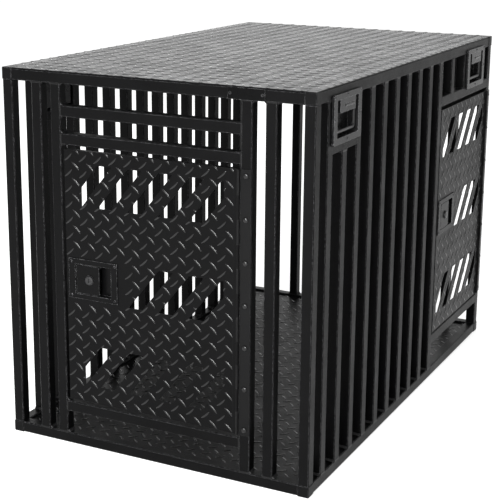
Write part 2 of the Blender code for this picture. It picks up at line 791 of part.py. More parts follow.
def build_latch_dish(name, wall, plate, z):
    """The latch plate, its dish, the bolt guide and four rivet heads."""
    half = DISH_HALF_H
    front = -GAP - LATCH_SHEET
    bm = bmesh.new()
    add_box(bm, (plate, front, z - LATCH_H / 2), (plate + LATCH_W, -GAP, z + LATCH_H / 2))
    obj = new_object(name, bm)
    tray = bmesh.new()
    add_box(tray, (plate + DISH_FROM - DISH_WALL, -GAP - EMBED, z - half - DISH_WALL),
            (plate + DISH_TO + DISH_WALL, DISH_DEPTH + DISH_WALL, z + half + DISH_WALL))
    fuse(obj, tray)
    inside = bmesh.new()
    add_box(inside, (plate + DISH_FROM, front - EMBED, z - half),
            (plate + DISH_TO, DISH_DEPTH, z + half))
    cut(obj, inside)
    guide = bmesh.new()
    guide_half = BOLT_H / 2 + GAP + GUIDE_WALL
    add_box(guide, (plate + GUIDE_FROM, DISH_DEPTH + DISH_WALL / 2, z - guide_half),
            (plate + GUIDE_FROM + GUIDE_LEN, BOLT_FRONT + BOLT_T + GUIDE_WALL, z + guide_half))
    fuse(obj, guide)
    channel = bmesh.new()
    add_box(channel, (plate + GUIDE_FROM - EMBED, BOLT_FRONT - GAP, z - BOLT_H / 2 - GAP),
            (plate + GUIDE_FROM + GUIDE_LEN + EMBED, BOLT_FRONT + BOLT_T + GAP,
             z + BOLT_H / 2 + GAP))
    cut(obj, channel)
    holes = bmesh.new()
    profile = circle(plate + TRUNNION_FROM, TRUNNION_DEPTH, hole_radius(TRUNNION_R, ROUND_COUNT), ROUND_COUNT)
    add_prism(holes, profile, 2, z - half - 2 * DISH_WALL, z + half + 2 * DISH_WALL)
    cut(obj, holes)
    heads = bmesh.new()
    for u in (plate + SMALL_RIVET_EDGE, plate + LATCH_W - SMALL_RIVET_EDGE):
        for reach in (-1, 1):
            add_dome(heads, z + reach * (LATCH_H / 2 - SMALL_RIVET_EDGE), u, 1, front,
                     -SMALL_RIVET_RISE, SMALL_RIVET_R, RIVET_COUNT)
    fuse(obj, heads)
    tidy_mesh(obj)
    settle(obj, wall_matrix(wall), colour=DARK, roughness=0.4)


def build_paddle(name, wall, plate, z):
    """The paddle with its trunnions, lip and the hole for the lock."""
    front = -GAP - LATCH_SHEET
    half = DISH_HALF_H - PADDLE_END_GAP
    bm = bmesh.new()
    outline = rectangle(plate + PADDLE_FROM, plate + PADDLE_TO, z - half, z + half, 0.002)
    add_prism(bm, [(b, a) for a, b in outline], 1, front, front + PADDLE_T)
    obj = new_object(name, bm)
    boss = bmesh.new()
    boss_profile = circle(plate + TRUNNION_FROM, TRUNNION_DEPTH, BOSS_R, ROUND_COUNT)
    add_prism(boss, boss_profile, 2, z - half + 0.003, z + half - 0.003)
    fuse(obj, boss)
    pins = bmesh.new()
    pin_profile = circle(plate + TRUNNION_FROM, TRUNNION_DEPTH, TRUNNION_R, ROUND_COUNT)
    reach = DISH_HALF_H + DISH_WALL - GAP
    add_prism(pins, pin_profile, 2, z - reach, z + reach)
    fuse(obj, pins)
    lip = bmesh.new()
    add_box(lip, (plate + PADDLE_TO - PADDLE_LIP, front + PADDLE_T / 2, z - half + 0.0025),
            (plate + PADDLE_TO - INSET, front + PADDLE_T + PADDLE_LIP_DEPTH, z + half - 0.0025))
    fuse(obj, lip)
    hole = bmesh.new()
    profile = circle(z, plate + LOCK_FROM, hole_radius(LOCK_R, FINE_COUNT), FINE_COUNT)
    add_prism(hole, profile, 1, front - EMBED, LOCK_REAR)
    cut(obj, hole)
    tidy_mesh(obj)
    settle(obj, wall_matrix(wall), pivot=(plate + TRUNNION_FROM, TRUNNION_DEPTH, z),
           colour=DARK, roughness=0.35)


def build_lock(name, wall, plate, z):
    """The key cylinder with its keyway."""
    front = -GAP - LATCH_SHEET - LOCK_PROUD
    bm = bmesh.new()
    steps = [(LOCK_R - LOCK_CHAMFER, front), (LOCK_R, front + LOCK_CHAMFER), (LOCK_R, LOCK_REAR)]
    add_lathe(bm, z, plate + LOCK_FROM, 1, steps, FINE_COUNT)
    obj = new_object(name, bm)
    key = bmesh.new()
    add_box(key, (plate + LOCK_FROM - KEY_W / 2, front - EMBED, z - KEY_H / 2),
            (plate + LOCK_FROM + KEY_W / 2, front + KEY_DEPTH, z + KEY_H / 2))
    cut(obj, key)
    settle(obj, wall_matrix(wall), pivot=(plate + LOCK_FROM, 0.0, z),
           colour=STEEL, roughness=0.3, metallic=1.0)


def build_bolt(name, wall, edge, z):
    """The bevelled bolt, drawn back into the door."""
    tip = edge + BOLT_TIP
    rear = BOLT_FRONT + BOLT_T
    outline = [
        (tip, BOLT_FRONT), (tip + BOLT_LEN, BOLT_FRONT), (tip + BOLT_LEN, rear),
        (tip + BOLT_BEVEL, rear), (tip, BOLT_FRONT + BOLT_T / 4),
    ]
    bm = bmesh.new()
    add_prism(bm, outline, 2, z - BOLT_H / 2, z + BOLT_H / 2)
    settle(new_object(name, bm), wall_matrix(wall), pivot=(tip, BOLT_FRONT + BOLT_T / 2, z),
           colour=STEEL, roughness=0.35, metallic=1.0)


def build_door(side, wall, door, carrier, slots, latch_z):
    """A door with its hinge and latch, hung on the tube whose near edge is the carrier."""
    pivot = door[1] + HINGE_REACH
    plate = door[0] + LATCH_INSET
    build_door_panel(f"{side}_door_panel", wall, door, pivot, slots, latch_z)
    build_hinge_leaf(f"{side}_hinge_leaf", wall, door, pivot, carrier)
    build_latch_dish(f"{side}_latch_dish", wall, plate, latch_z)
    build_paddle(f"{side}_latch_paddle", wall, plate, latch_z)
    build_lock(f"{side}_lock_cylinder", wall, plate, latch_z)
    build_bolt(f"{side}_latch_bolt", wall, door[0], latch_z)


def build_doors():
    """The front door and the side door."""
    front = slot_cutter(FRONT_DOOR, FRONT_SLOT_ENDS, FRONT_SLOT_FIELD, FRONT_SLOT_ROWS)
    build_door("front", "front", FRONT_DOOR, FRONT_HINGE_JAMB - TUBE / 2, front, FRONT_LATCH_Z)
    side = slot_cutter(SIDE_DOOR, SIDE_SLOT_ENDS, SIDE_SLOT_FIELD, SIDE_SLOT_ROWS)
    build_door("side", "right", SIDE_DOOR, FRAME_L - TUBE, side, SIDE_LATCH_Z)


def handle_heads(u, front):
    """Rivet heads along the top flange, at half height and under the dish."""
    heads = bmesh.new()
    top = (HANDLE_HIGH + FRAME_H - TUBE) / 2
    low = HANDLE_LOW + HANDLE_DISH_LOW / 2
    side = HANDLE_HALF_W - HANDLE_RIVET_EDGE
    middle = (HANDLE_LOW + HANDLE_HIGH) / 2
    places = ((-side, top), (0.0, top), (side, top), (-side, middle), (side, middle), (0.0, low))
    for place, z in places:
        add_dome(heads, z, u + place, 1, front, -HANDLE_RIVET_RISE, HANDLE_RIVET_R, RIVET_COUNT)
    return heads


def handle_cover(obj, u, front, high):
    """The cover over the bail's pivot, with a ridge along it."""
    half = BAIL_HALF - COVER_SIDE
    cover = bmesh.new()
    outline = rectangle(front + INSET, COVER_DEPTH, COVER_LOW, high + HANDLE_SHEET / 2, INSET)
    add_prism(cover, outline, 0, u - half, u + half)
    fuse(obj, cover)
    ridge = bmesh.new()
    profile = circle(COVER_RIDGE_DEPTH, COVER_RIDGE_Z, COVER_RIDGE_R, ROUND_COUNT)
    add_prism(ridge, profile, 0, u - half * 0.3, u + half * 0.8)
    fuse(obj, ridge)


def handle_rim(name, u, front):
    """The handle's plate with its edges folded back onto the tubes."""
    half = HANDLE_HALF_W
    inner = half - HANDLE_SHEET
    outline = rectangle(u - half, u + half, HANDLE_LOW, HANDLE_HIGH, HANDLE_CORNER)
    bm = bmesh.new()
    add_prism(bm, [(b, a) for a, b in outline], 1, front, -GAP)
    obj = new_object(name, bm)
    hollow = bmesh.new()
    outline = rectangle(u - inner, u + inner, HANDLE_LOW + HANDLE_SHEET,
                        HANDLE_HIGH - HANDLE_SHEET, HANDLE_CORNER)
    add_prism(hollow, [(b, a) for a, b in outline], 1, front + HANDLE_SHEET, EMBED)
    cut(obj, hollow)
    return obj


def build_handle_plate(name, wall, u):
    """A handle plate with its dish, trunnion holes, cover and rivet heads."""
    front = -GAP - HANDLE_RISE
    low = HANDLE_LOW + HANDLE_DISH_LOW
    high = FRAME_H - TUBE - GAP - HANDLE_SHEET
    half = HANDLE_DISH_HALF
    obj = handle_rim(name, u, front)
    tray = bmesh.new()
    add_box(tray, (u - half - HANDLE_SHEET, front + HANDLE_SHEET / 2, low - HANDLE_SHEET),
            (u + half + HANDLE_SHEET, HANDLE_DISH_DEPTH + HANDLE_SHEET, high + HANDLE_SHEET))
    fuse(obj, tray)
    inside = bmesh.new()
    add_box(inside, (u - half, front - EMBED, low), (u + half, HANDLE_DISH_DEPTH, high))
    cut(obj, inside)
    holes = bmesh.new()
    reach = half + 2 * HANDLE_SHEET
    radius = hole_radius(BAIL_R, ROUND_COUNT)
    add_prism(holes, circle(BAIL_DEPTH, BAIL_PIVOT_Z, radius, ROUND_COUNT), 0, u - reach, u + reach)
    cut(obj, holes)
    handle_cover(obj, u, front, high)
    fuse(obj, handle_heads(u, front))
    tidy_mesh(obj)
    settle(obj, wall_matrix(wall))


def bail_path(u):
    """Centre line of a bail in the plane of the wall."""
    end = HANDLE_DISH_HALF + HANDLE_SHEET + BAIL_END
    top, low, bend = BAIL_PIVOT_Z, BAIL_GRIP_Z, BAIL_BEND
    side = BAIL_HALF
    cut_in = bend * 0.3
    half = [
        (side - bend, low), (side - cut_in, low + cut_in), (side, low + bend),
        (side, top - bend / 2), (side + cut_in / 2, top - cut_in / 2), (side + bend / 2, top),
        (end, top),
    ]
    left = [(-a, b) for a, b in reversed(half)]
    return [(u + a, b) for a, b in left + half]


def build_bail(name, wall, u):
    """A bent rod bail that hangs in its dish."""
    path = [Vector((a, BAIL_DEPTH, b)) for a, b in bail_path(u)]
    inward = Vector((0.0, 1.0, 0.0))
    bm = bmesh.new()
    rings = []
    for i, here in enumerate(path):
        before = (here - path[i - 1]).normalized() if i > 0 else None
        after = (path[i + 1] - here).normalized() if i < len(path) - 1 else None
        first = before or after
        second = after or before
        along = (first + second).normalized()
        mitre = 1.0 / max(0.5, along.dot(first))
        across = along.cross(inward).normalized()
        ring = []
        for a, b in circle(0.0, 0.0, BAIL_R, ROUND_COUNT):
            ring.append(bm.verts.new(here + across * a * mitre + inward * b))
        rings.append(ring)
    for first, second in zip(rings, rings[1:]):
        add_band(bm, first, second)
    bm.faces.new(rings[0])
    bm.faces.new(rings[-1])
    settle(new_object(name, bm), wall_matrix(wall), pivot=(u, BAIL_DEPTH, BAIL_PIVOT_Z),
           colour=DARK, roughness=0.4)


def build_handles():
    """Four lifting handles."""
    left_pitch = (FRAME_L - TUBE) / (LEFT_BAR_COUNT + 1)
    left_near = FRAME_L - TUBE / 2 - 2 * left_pitch
    places = (
        ("right_near", "right", side_bar(1)),
        ("right_far", "right", SIDE_FAR_BAR + HANDLE_SPREAD / 2),
        ("left_near", "left", left_near),
        ("left_far", "left", FRAME_L - left_near),
    )
    for label, wall, u in places:
        build_handle_plate(f"handle_plate_{label}", wall, u)
        build_bail(f"handle_bail_{label}", wall, u)


def build_badge():
    """The bare plate on the top front rail."""
    low = FRAME_H - TUBE + BADGE_EDGE
    high = FRAME_H - BADGE_EDGE
    bm = bmesh.new()
    add_box(bm, (BADGE_FROM, -GAP - BADGE_SHEET, low), (BADGE_TO, -GAP, high))
    obj = new_object("badge_plate", bm)
    heads = bmesh.new()
    for u in (BADGE_FROM + 2 * BADGE_RIVET_R, BADGE_TO - 2 * BADGE_RIVET_R):
        add_dome(heads, (low + high) / 2, u, 1, -GAP - BADGE_SHEET, -BADGE_SHEET / 2,
                 BADGE_RIVET_R, RIVET_COUNT)
    fuse(obj, heads)
    settle(obj, wall_matrix("front"), colour=DARK, roughness=0.25)


def main():
    """Build the whole crate."""
    clear_scene()
    build_blocks()
    build_posts()
    build_rails()
    build_front_wall()
    build_right_wall()
    build_grille("wall_left_grille", "left", LEFT_BAR_COUNT, (1, LEFT_BAR_COUNT - 2))
    build_grille("wall_back_grille", "back", BACK_BAR_COUNT, ())
    build_roof()
    build_floor()
    build_doors()
    build_handles()
    build_badge()


main()
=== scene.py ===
"""Coat, tread, welds and hardware of a welded tube dog crate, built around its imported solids."""

import math

import bmesh
import bpy
from mathutils import Matrix, Vector


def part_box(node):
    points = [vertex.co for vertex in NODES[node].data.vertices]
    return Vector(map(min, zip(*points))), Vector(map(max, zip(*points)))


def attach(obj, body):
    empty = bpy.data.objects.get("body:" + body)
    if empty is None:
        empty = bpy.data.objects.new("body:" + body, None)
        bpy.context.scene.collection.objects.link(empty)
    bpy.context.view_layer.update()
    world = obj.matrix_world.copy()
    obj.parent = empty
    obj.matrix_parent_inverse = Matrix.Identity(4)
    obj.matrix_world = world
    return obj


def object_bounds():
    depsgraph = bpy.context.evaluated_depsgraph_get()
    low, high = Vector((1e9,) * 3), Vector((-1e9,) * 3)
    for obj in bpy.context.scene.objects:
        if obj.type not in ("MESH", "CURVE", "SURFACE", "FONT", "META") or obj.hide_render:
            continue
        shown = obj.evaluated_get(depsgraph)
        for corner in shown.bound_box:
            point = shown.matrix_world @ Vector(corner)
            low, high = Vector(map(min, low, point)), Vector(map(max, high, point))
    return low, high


bl_info = {
    "name": "Dog crate finish",
    "version": (1, 0, 0),
    "blender": (4, 5, 0),
    "location": "View3D > Sidebar > Crate",
    "description": "Dresses a welded tube dog crate with its coat, tread, welds and hardware",
    "category": "Object",
}

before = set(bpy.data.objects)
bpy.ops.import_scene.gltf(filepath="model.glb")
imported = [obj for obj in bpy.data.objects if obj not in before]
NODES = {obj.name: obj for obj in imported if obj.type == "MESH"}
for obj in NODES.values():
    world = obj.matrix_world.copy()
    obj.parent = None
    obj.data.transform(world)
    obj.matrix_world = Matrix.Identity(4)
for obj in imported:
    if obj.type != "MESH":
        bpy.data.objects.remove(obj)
CAD_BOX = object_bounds()

# Faces of the frame, read from its solids
LEFT_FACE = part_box("post_front_left")[0].x
RIGHT_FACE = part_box("post_front_right")[1].x
FRONT_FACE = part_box("front_bar_left")[0].y
BACK_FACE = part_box("post_back_left")[1].y
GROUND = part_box("rail_front_bottom")[0].z
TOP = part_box("rail_front_top")[1].z
FRAME_W = RIGHT_FACE - LEFT_FACE
FRAME_L = BACK_FACE - FRONT_FACE
FRAME_H = TOP - GROUND
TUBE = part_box("rail_front_bottom")[1].z - GROUND

# How the solids are laid out, in metres along a wall, inwards and up
KNUCKLE_PAST_DOOR = 0.0070
HINGE_STRIP = 0.0080
HINGE_LEAF_W = 0.0242
HINGE_LEAF_FACE = 0.0018
HINGE_RIVET_END = 0.0130
HINGE_RIVET_COUNT = 7
LATCH_INSET = 0.0065
LATCH_W = 0.1266
LATCH_H = 0.0920
SLOT_WIDTH = 0.0360
SLOT_LEAN = 0.0780
SLOT_HEIGHT = 0.0960
SLOT_COUNT = 5
SLOT_SKIP = 2
SLOTS = {
    "front": {"ends": (0.0076, 0.1156), "field": (0.0430, 0.0310), "rows": (0.0292, -0.0015, 0.0407)},
    "side": {"ends": (0.0050, 0.0990), "field": (0.0240, 0.0210), "rows": (0.0310, 0.0070, 0.0450)},
}
DOOR_WALLS = {"front": "front", "side": "right"}
HEADER_DROP = 0.1269
LEFT_BAR_COUNT = 14
BACK_BAR_COUNT = 8
WALLS = ("front", "right", "left", "back")
FRONT_UPRIGHTS = ("front_bar_left", "front_bar_right", "front_latch_jamb", "front_hinge_jamb")
SIDE_BAR_NUMBERS = range(4, 10)
LEFT_SHORT_BARS = (1, LEFT_BAR_COUNT - 2)

# Lugs: stations along a lug, its flank from edge to crown, and how its fields end
LUG_STATIONS = (-0.82, -0.45, 0.0, 0.45, 0.82)
LUG_FLANK = ((0.82, 0.30), (0.74, 0.45), (0.40, 0.94), (0.28, 1.0))
LUG_SINK = -0.0004
LUG_OVERHANG = 0.45
LUG_FIELD_INSET = 0.0008
LUG_TO_LATCH = 0.75
LUG_TO_BLOCK = 0.4
SIDE_LUG_SHIFT = (0.4, 0.3)
PAN_LUG_START = (0.017, 0.015)
SLOT_CUT_DEPTH = 0.01

# Welds: how they swell along their length, and how deep they sit
FILLET_SWELL = (-0.10, 0.14)
FILLET_END = 0.55
FILLET_HOLLOW = 0.30
FILLET_SINK = 0.0004
SEAM_SWELL = (-0.08, 0.10)
SEAM_STEPS = 10
SEAM_SINK = 0.0003
SEAM_FOOT = 0.9
WELD_INSET = 0.0014
SEAM_INSET = 0.0016

# Stop strip behind the side door, in depth from the wall's face
STOP_FRONT = 0.0142
STOP_CHAMFER = 0.0008
STOP_BACK = 0.0162
STOP_END = 0.0040
STOP_OVERLAP = 0.0060
STOP_TO_HEADER = 0.0004

# Badge plate and its eyelets
EYELET_END = 0.0055
BADGE_FACE = 0.0015

# Rounds
TURNED_SIDES = 20

# Stage: camera angles in degrees, light places, targets and sizes in metres
CAMERA_PLACE = (1.35052, -2.83994, 1.23243)
CAMERA_AZIMUTH = 26.503
CAMERA_ELEVATION = 13.489
CAMERA_ROLL = 0.54
CAMERA_SHIFT = -0.10
FLOOR_RADIUS = 60.0
FLOOR_SIDES = 64
FLOOR_DEPTH = 0.05
FLOOR_GAP = 0.0002
FLOOR_GLOW = 0.50
KEY_LIGHT = {"place": (0.55, -4.6, 2.05), "target": (0.0, -0.6, 0.4), "size": (2.8, 0.3), "turn": -42.0}
BACK_LIGHT = {"place": (-2.0, 3.6, 2.4), "target": (0.0, 0.0, 0.5), "size": (3.0, 1.6)}
WHITE = (1.0, 1.0, 1.0, 1.0)

# Finishes: colour, edge colour (rubbed coat and painted highlight) and roughness by setting, a step in
# roughness, and the rest
FINISHES = {
    "tube": ("tube_black", "tube_rub_and_highlight", "tube_rough", 0.0, {}),
    "block": ("latch_black", "tube_rub_and_highlight", "tube_rough", 0.04,
              {"grain": 1.2, "gloss": 0.08, "rub_and_highlight": 0.5, "bump": 0.6, "reach": 0.0018}),
    "tread": ("tread_black", "tread_worn", "tread_rough", 0.0,
              {"grain": 0.9, "gloss": 0.060, "rub_and_highlight": 0.4, "bump": 0.6, "reach": 0.0007}),
    "lug": ("tread_black", "tread_worn", "tread_rough", -0.14,
            {"grain": 0.6, "gloss": 0.36, "rub_and_highlight": 0.6, "bump": 0.10, "reach": 0.0005, "patch": 0.02}),
    "weld": ("tube_black", "tube_rub_and_highlight", "tube_rough", 0.02,
             {"grain": 0.8, "gloss": 0.18, "rub_and_highlight": 0.6, "bump": 0.3, "reach": 0.0006}),
    "hinge": ("tube_black", "tube_rub_and_highlight", "tube_rough", -0.06,
              {"grain": 0.9, "gloss": 0.12, "rub_and_highlight": 0.7, "reach": 0.0006}),
    "latch": ("latch_black", "latch_rub_and_highlight", "latch_rough", 0.0,
              {"grain": 0.7, "gloss": 0.07, "rub_and_highlight": 0.9, "bump": 0.25, "reach": 0.0009}),
    # Handle plates: the lighter black is painted light for the lit dish
    "handle": ("handle_lit_black", "latch_rub_and_highlight", "latch_rough", -0.04,
               {"grain": 0.8, "gloss": 0.13, "rub_and_highlight": 1.0, "bump": 0.4, "reach": 0.0011}),
    "bail": ("latch_black", "latch_rub_and_highlight", "latch_rough", 0.02,
             {"grain": 0.6, "gloss": 0.34, "rub_and_highlight": 0.9, "bump": 0.12, "reach": 0.0008}),
    "rivet": ("tube_black", "tube_rub_and_highlight", "tube_rough", -0.14,
              {"grain": 0.6, "gloss": 0.34, "rub_and_highlight": 0.6, "bump": 0.08, "reach": 0.0006}),
}
STEEL_ROUGH = 0.34


def length(name, description, default):
    """A size that a user may change."""
    return bpy.props.FloatProperty(
        name=name, description=description, default=default, min=0.0, precision=4,
        subtype="DISTANCE", unit="LENGTH")


def share(name, description, default):
    """A value between nothing and all."""
    return bpy.props.FloatProperty(
        name=name, description=description, default=default, min=0.0, max=1.0, subtype="FACTOR")


def colour(name, description, default):
    """A colour that a user may change."""
    return bpy.props.FloatVectorProperty(
        name=name, description=description, default=default, size=3, min=0.0, max=1.0,
        subtype="COLOR")


class CrateCoatSettings(bpy.types.PropertyGroup):
    """Colours and textures of the baked black coats."""

    tube_black: colour("Tube black", "Colour of the coat on the tubes", (0.0016, 0.0016, 0.0017))
    # Edge colour of the tubes: partly coat rubbed thin, partly a painted highlight for the light line that
    # tube edges catch
    tube_rub_and_highlight: colour("Tube edge rub and highlight", "Colour where the coat is rubbed thin on edges", (0.15, 0.15, 0.155))
    tread_black: colour("Tread black", "Colour of the coat on the tread plate", (0.0018, 0.0018, 0.0019))
    tread_worn: colour("Worn lug", "Colour on the crowns of the tread lugs", (0.055, 0.055, 0.058))
    # Edge colour of pressed pieces: partly rubbed coat, partly a painted highlight for their bright edge
    # lines
    latch_rub_and_highlight: colour("Latch edge rub and highlight", "Colour on the rubbed edges of pressed pieces", (0.42, 0.42, 0.43))
    latch_black: colour("Latch black", "Colour of the coat on pressed pieces", (0.0012, 0.0012, 0.0013))
    # Painted light: the handle coat is several times lighter than the other blacks, standing for the lit
    # dish of the handle
    handle_lit_black: colour("Handle black, lit", "Colour of the coat on the handle plates", (0.009, 0.009, 0.0093))
    steel: colour("Bare steel", "Colour of the machined key cylinders and bolts", (0.05, 0.05, 0.051))
    tube_rough: share("Tube roughness", "Roughness of the coat on the tubes", 0.38)
    tread_rough: share("Tread roughness", "Roughness of the coat on the tread plate", 0.36)
    latch_rough: share("Latch roughness", "Roughness of the smooth coat", 0.30)
    peel_size: length("Peel size", "Size of the grain of the powder coat", 0.0026)
    # Reach of the edge colour, which is partly rubbed coat and partly a painted highlight
    rub_and_highlight_reach: share("Edge rub and highlight reach", "How far worn coat reaches from an edge", 1.0)


class CrateTreadSettings(bpy.types.PropertyGroup):
    """Sizes of the raised lugs of the tread plate."""

    pitch_along: length("Pitch along", "Distance between like lugs along a row", 0.0382)
    pitch_up: length("Pitch up", "Distance between rows of like lugs", 0.0359)
    first_along: length("First column", "Place of the first column from the left of the front", 0.1896)
    first_up: length("First row", "Height of the upper row on the front door", 0.6600)
    lug_length: length("Lug length", "Length of a lug from tip to tip", 0.0280)
    lug_width: length("Lug width", "Width of a lug at its middle", 0.0050)
    lug_rise: length("Lug rise", "Height of a lug over its plate", 0.0010)
    lug_bow: length("Lug bow", "How far the middle of a lug bows out", 0.0015)
    lug_turn: bpy.props.FloatProperty(
        name="Lug turn", description="Angle of a lug to its row", default=math.radians(42),
        subtype="ANGLE", unit="ROTATION")


class CrateWeldSettings(bpy.types.PropertyGroup):
    """Sizes of the fillet welds between tubes."""

    leg: length("Leg", "Leg of a fillet weld", 0.0042)
    ripple: length("Ripple", "Distance between two ripples of a weld", 0.0030)
    seam_width: length("Seam width", "Width of a dressed seam on a flush face", 0.0046)
    seam_rise: length("Seam rise", "Height of a dressed seam over its face", 0.0004)


class CrateHardwareSettings(bpy.types.PropertyGroup):
    """Sizes of rivets and eyelets."""

    rivet_radius: length("Rivet radius", "Radius of a hinge rivet's head", 0.0066)
    rivet_rise: length("Rivet rise", "Height of a hinge rivet's head", 0.0036)
    eyelet_radius: length("Eyelet radius", "Radius of the eyelets on the badge plate", 0.0036)
    eyelet_rise: length("Eyelet rise", "Height of the eyelets on the badge plate", 0.0014)


class CrateStageSettings(bpy.types.PropertyGroup):
    """Camera, floor and lights."""

    lens: bpy.props.FloatProperty(
        name="Lens", description="Focal length of the camera", default=90.22, min=1.0,
        subtype="DISTANCE_CAMERA", unit="CAMERA")
    floor_white: colour("Floor", "Colour of the floor", (0.90, 0.90, 0.90))
    sky_light: bpy.props.FloatProperty(
        name="Room light", description="Strength of the even light of the room", default=0.62,
        min=0.0)
    key_power: bpy.props.FloatProperty(
        name="Key light", description="Power of the main light", default=340.0, min=0.0,
        subtype="POWER", unit="POWER")
    back_power: bpy.props.FloatProperty(
        name="Back light", description="Power of the light behind the crate", default=40.0,
        min=0.0, subtype="POWER", unit="POWER")


# Walls and shapes

def wall_matrix(wall):
    """Local axes of a wall: along it, inwards and up."""
    places = {
        "front": (LEFT_FACE, FRONT_FACE, 0.0),
        "right": (RIGHT_FACE, FRONT_FACE, 90.0),
        "left": (LEFT_FACE, BACK_FACE, -90.0),
        "back": (RIGHT_FACE, BACK_FACE, 180.0),
    }
    x, y, turn = places[wall]
    return Matrix.Translation((x, y, GROUND)) @ Matrix.Rotation(math.radians(turn), 4, "Z")


def in_wall(wall, node):
    """Lowest and highest corner of a node in the axes of a wall."""
    low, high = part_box(node)
    turned = wall_matrix(wall).inverted()
    ends = [turned @ low, turned @ high]
    first = Vector([min(a, b) for a, b in zip(*ends)])
    last = Vector([max(a, b) for a, b in zip(*ends)])
    return first, last


def new_piece(name, bm, body, material, smooth_angle=50.0):
    """Turn a bmesh into a piece that rides on a body."""
    bmesh.ops.recalc_face_normals(bm, faces=bm.faces)
    mesh = bpy.data.meshes.new(name)
    bm.to_mesh(mesh)
    bm.free()
    piece = bpy.data.objects.new(name, mesh)
    bpy.context.scene.collection.objects.link(piece)
    mesh.materials.append(material)
    mesh.shade_smooth()
    mesh.set_sharp_from_angle(angle=math.radians(smooth_angle))
    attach(piece, body)
    return piece


def add_band(bm, first, second):
    """Faces between two closed rings of vertices."""
    count = len(first)
    for i in range(count):
        j = (i + 1) % count
        bm.faces.new((first[i], first[j], second[j], second[i]))


def add_sweep(bm, rings):
    """A closed solid through rings of points."""
    made = [[bm.verts.new(point) for point in ring] for ring in rings]
    for first, second in zip(made, made[1:]):
        add_band(bm, first, second)
    bm.faces.new(list(reversed(made[0])))
    bm.faces.new(made[-1])


def ring_points(centre, side, up, radius, count):
    """Points of a circle around a centre."""
    points = []
    for i in range(count):
        turn = 2 * math.pi * i / count
        points.append(centre + side * (radius * math.cos(turn)) + up * (radius * math.sin(turn)))
    return points


def add_turned(bm, centre, axis, steps, count):
    """A turned solid from steps of radius and height along an axis."""
    axis = axis.normalized()
    side = axis.orthogonal().normalized()
    up = axis.cross(side)
    add_sweep(bm, [ring_points(centre + axis * h, side, up, r, count) for r, h in steps])


# Shared shader groups

def new_group(name, inputs, outputs):
    """An empty shader group with its sockets."""
    group = bpy.data.node_groups.new(name, "ShaderNodeTree")
    for label, kind, default in inputs:
        socket = group.interface.new_socket(name=label, in_out="INPUT", socket_type=kind)
        socket.default_value = default
    for label, kind in outputs:
        group.interface.new_socket(name=label, in_out="OUTPUT", socket_type=kind)
    ends = (group.nodes.new("NodeGroupInput"), group.nodes.new("NodeGroupOutput"))
    return group, ends[0], ends[1]


def add_node(tree, kind, values=None, **settings):
    """A node with its own settings and the values of its sockets."""
    made = tree.nodes.new(kind)
    for key, value in settings.items():
        setattr(made, key, value)
    for key, value in (values or {}).items():
        made.inputs[key].default_value = value
    return made


def wire(tree, source, output, target, socket):
    """A link between two nodes."""
    tree.links.new(source.outputs[output], target.inputs[socket])


def build_grain_group():
    """Grain and mottling of a baked powder coat."""
    float_socket = "NodeSocketFloat"
    group, start, end = new_group(
        "Coat grain",
        [("Grain size", float_socket, 0.0016), ("Cloud size", float_socket, 0.06),
         ("Cloud strength", float_socket, 0.35)],
        [("Height", float_socket), ("Cloud", float_socket)])
    place = add_node(group, "ShaderNodeTexCoord")
    per_metre = add_node(group, "ShaderNodeMath", {0: 1.0}, operation="DIVIDE")
    cloud_per_metre = add_node(group, "ShaderNodeMath", {0: 1.0}, operation="DIVIDE")
    peel = add_node(group, "ShaderNodeTexNoise", {"Detail": 2.0, "Roughness": 0.6})
    pits = add_node(group, "ShaderNodeTexVoronoi", feature="SMOOTH_F1")
    cloud = add_node(group, "ShaderNodeTexNoise", {"Detail": 4.0, "Roughness": 0.62})
    mix = add_node(group, "ShaderNodeMath", {1: 0.35}, operation="MULTIPLY_ADD")
    spread = add_node(group, "ShaderNodeMapRange", {"From Min": 0.3, "From Max": 0.7})
    keep = add_node(group, "ShaderNodeMath", operation="MULTIPLY")
    wire(group, start, "Grain size", per_metre, 1)
    wire(group, start, "Cloud size", cloud_per_metre, 1)
    wire(group, place, "Object", peel, "Vector")
    wire(group, place, "Object", pits, "Vector")
    wire(group, place, "Object", cloud, "Vector")
    wire(group, per_metre, "Value", peel, "Scale")
    wire(group, per_metre, "Value", pits, "Scale")
    wire(group, cloud_per_metre, "Value", cloud, "Scale")
    wire(group, pits, "Distance", mix, 0)
    wire(group, peel, "Fac", mix, 2)
    wire(group, cloud, "Fac", spread, "Value")
    wire(group, spread, "Result", keep, 0)
    wire(group, start, "Cloud strength", keep, 1)
    wire(group, mix, "Value", end, "Height")
    wire(group, keep, "Value", end, "Cloud")
    return group


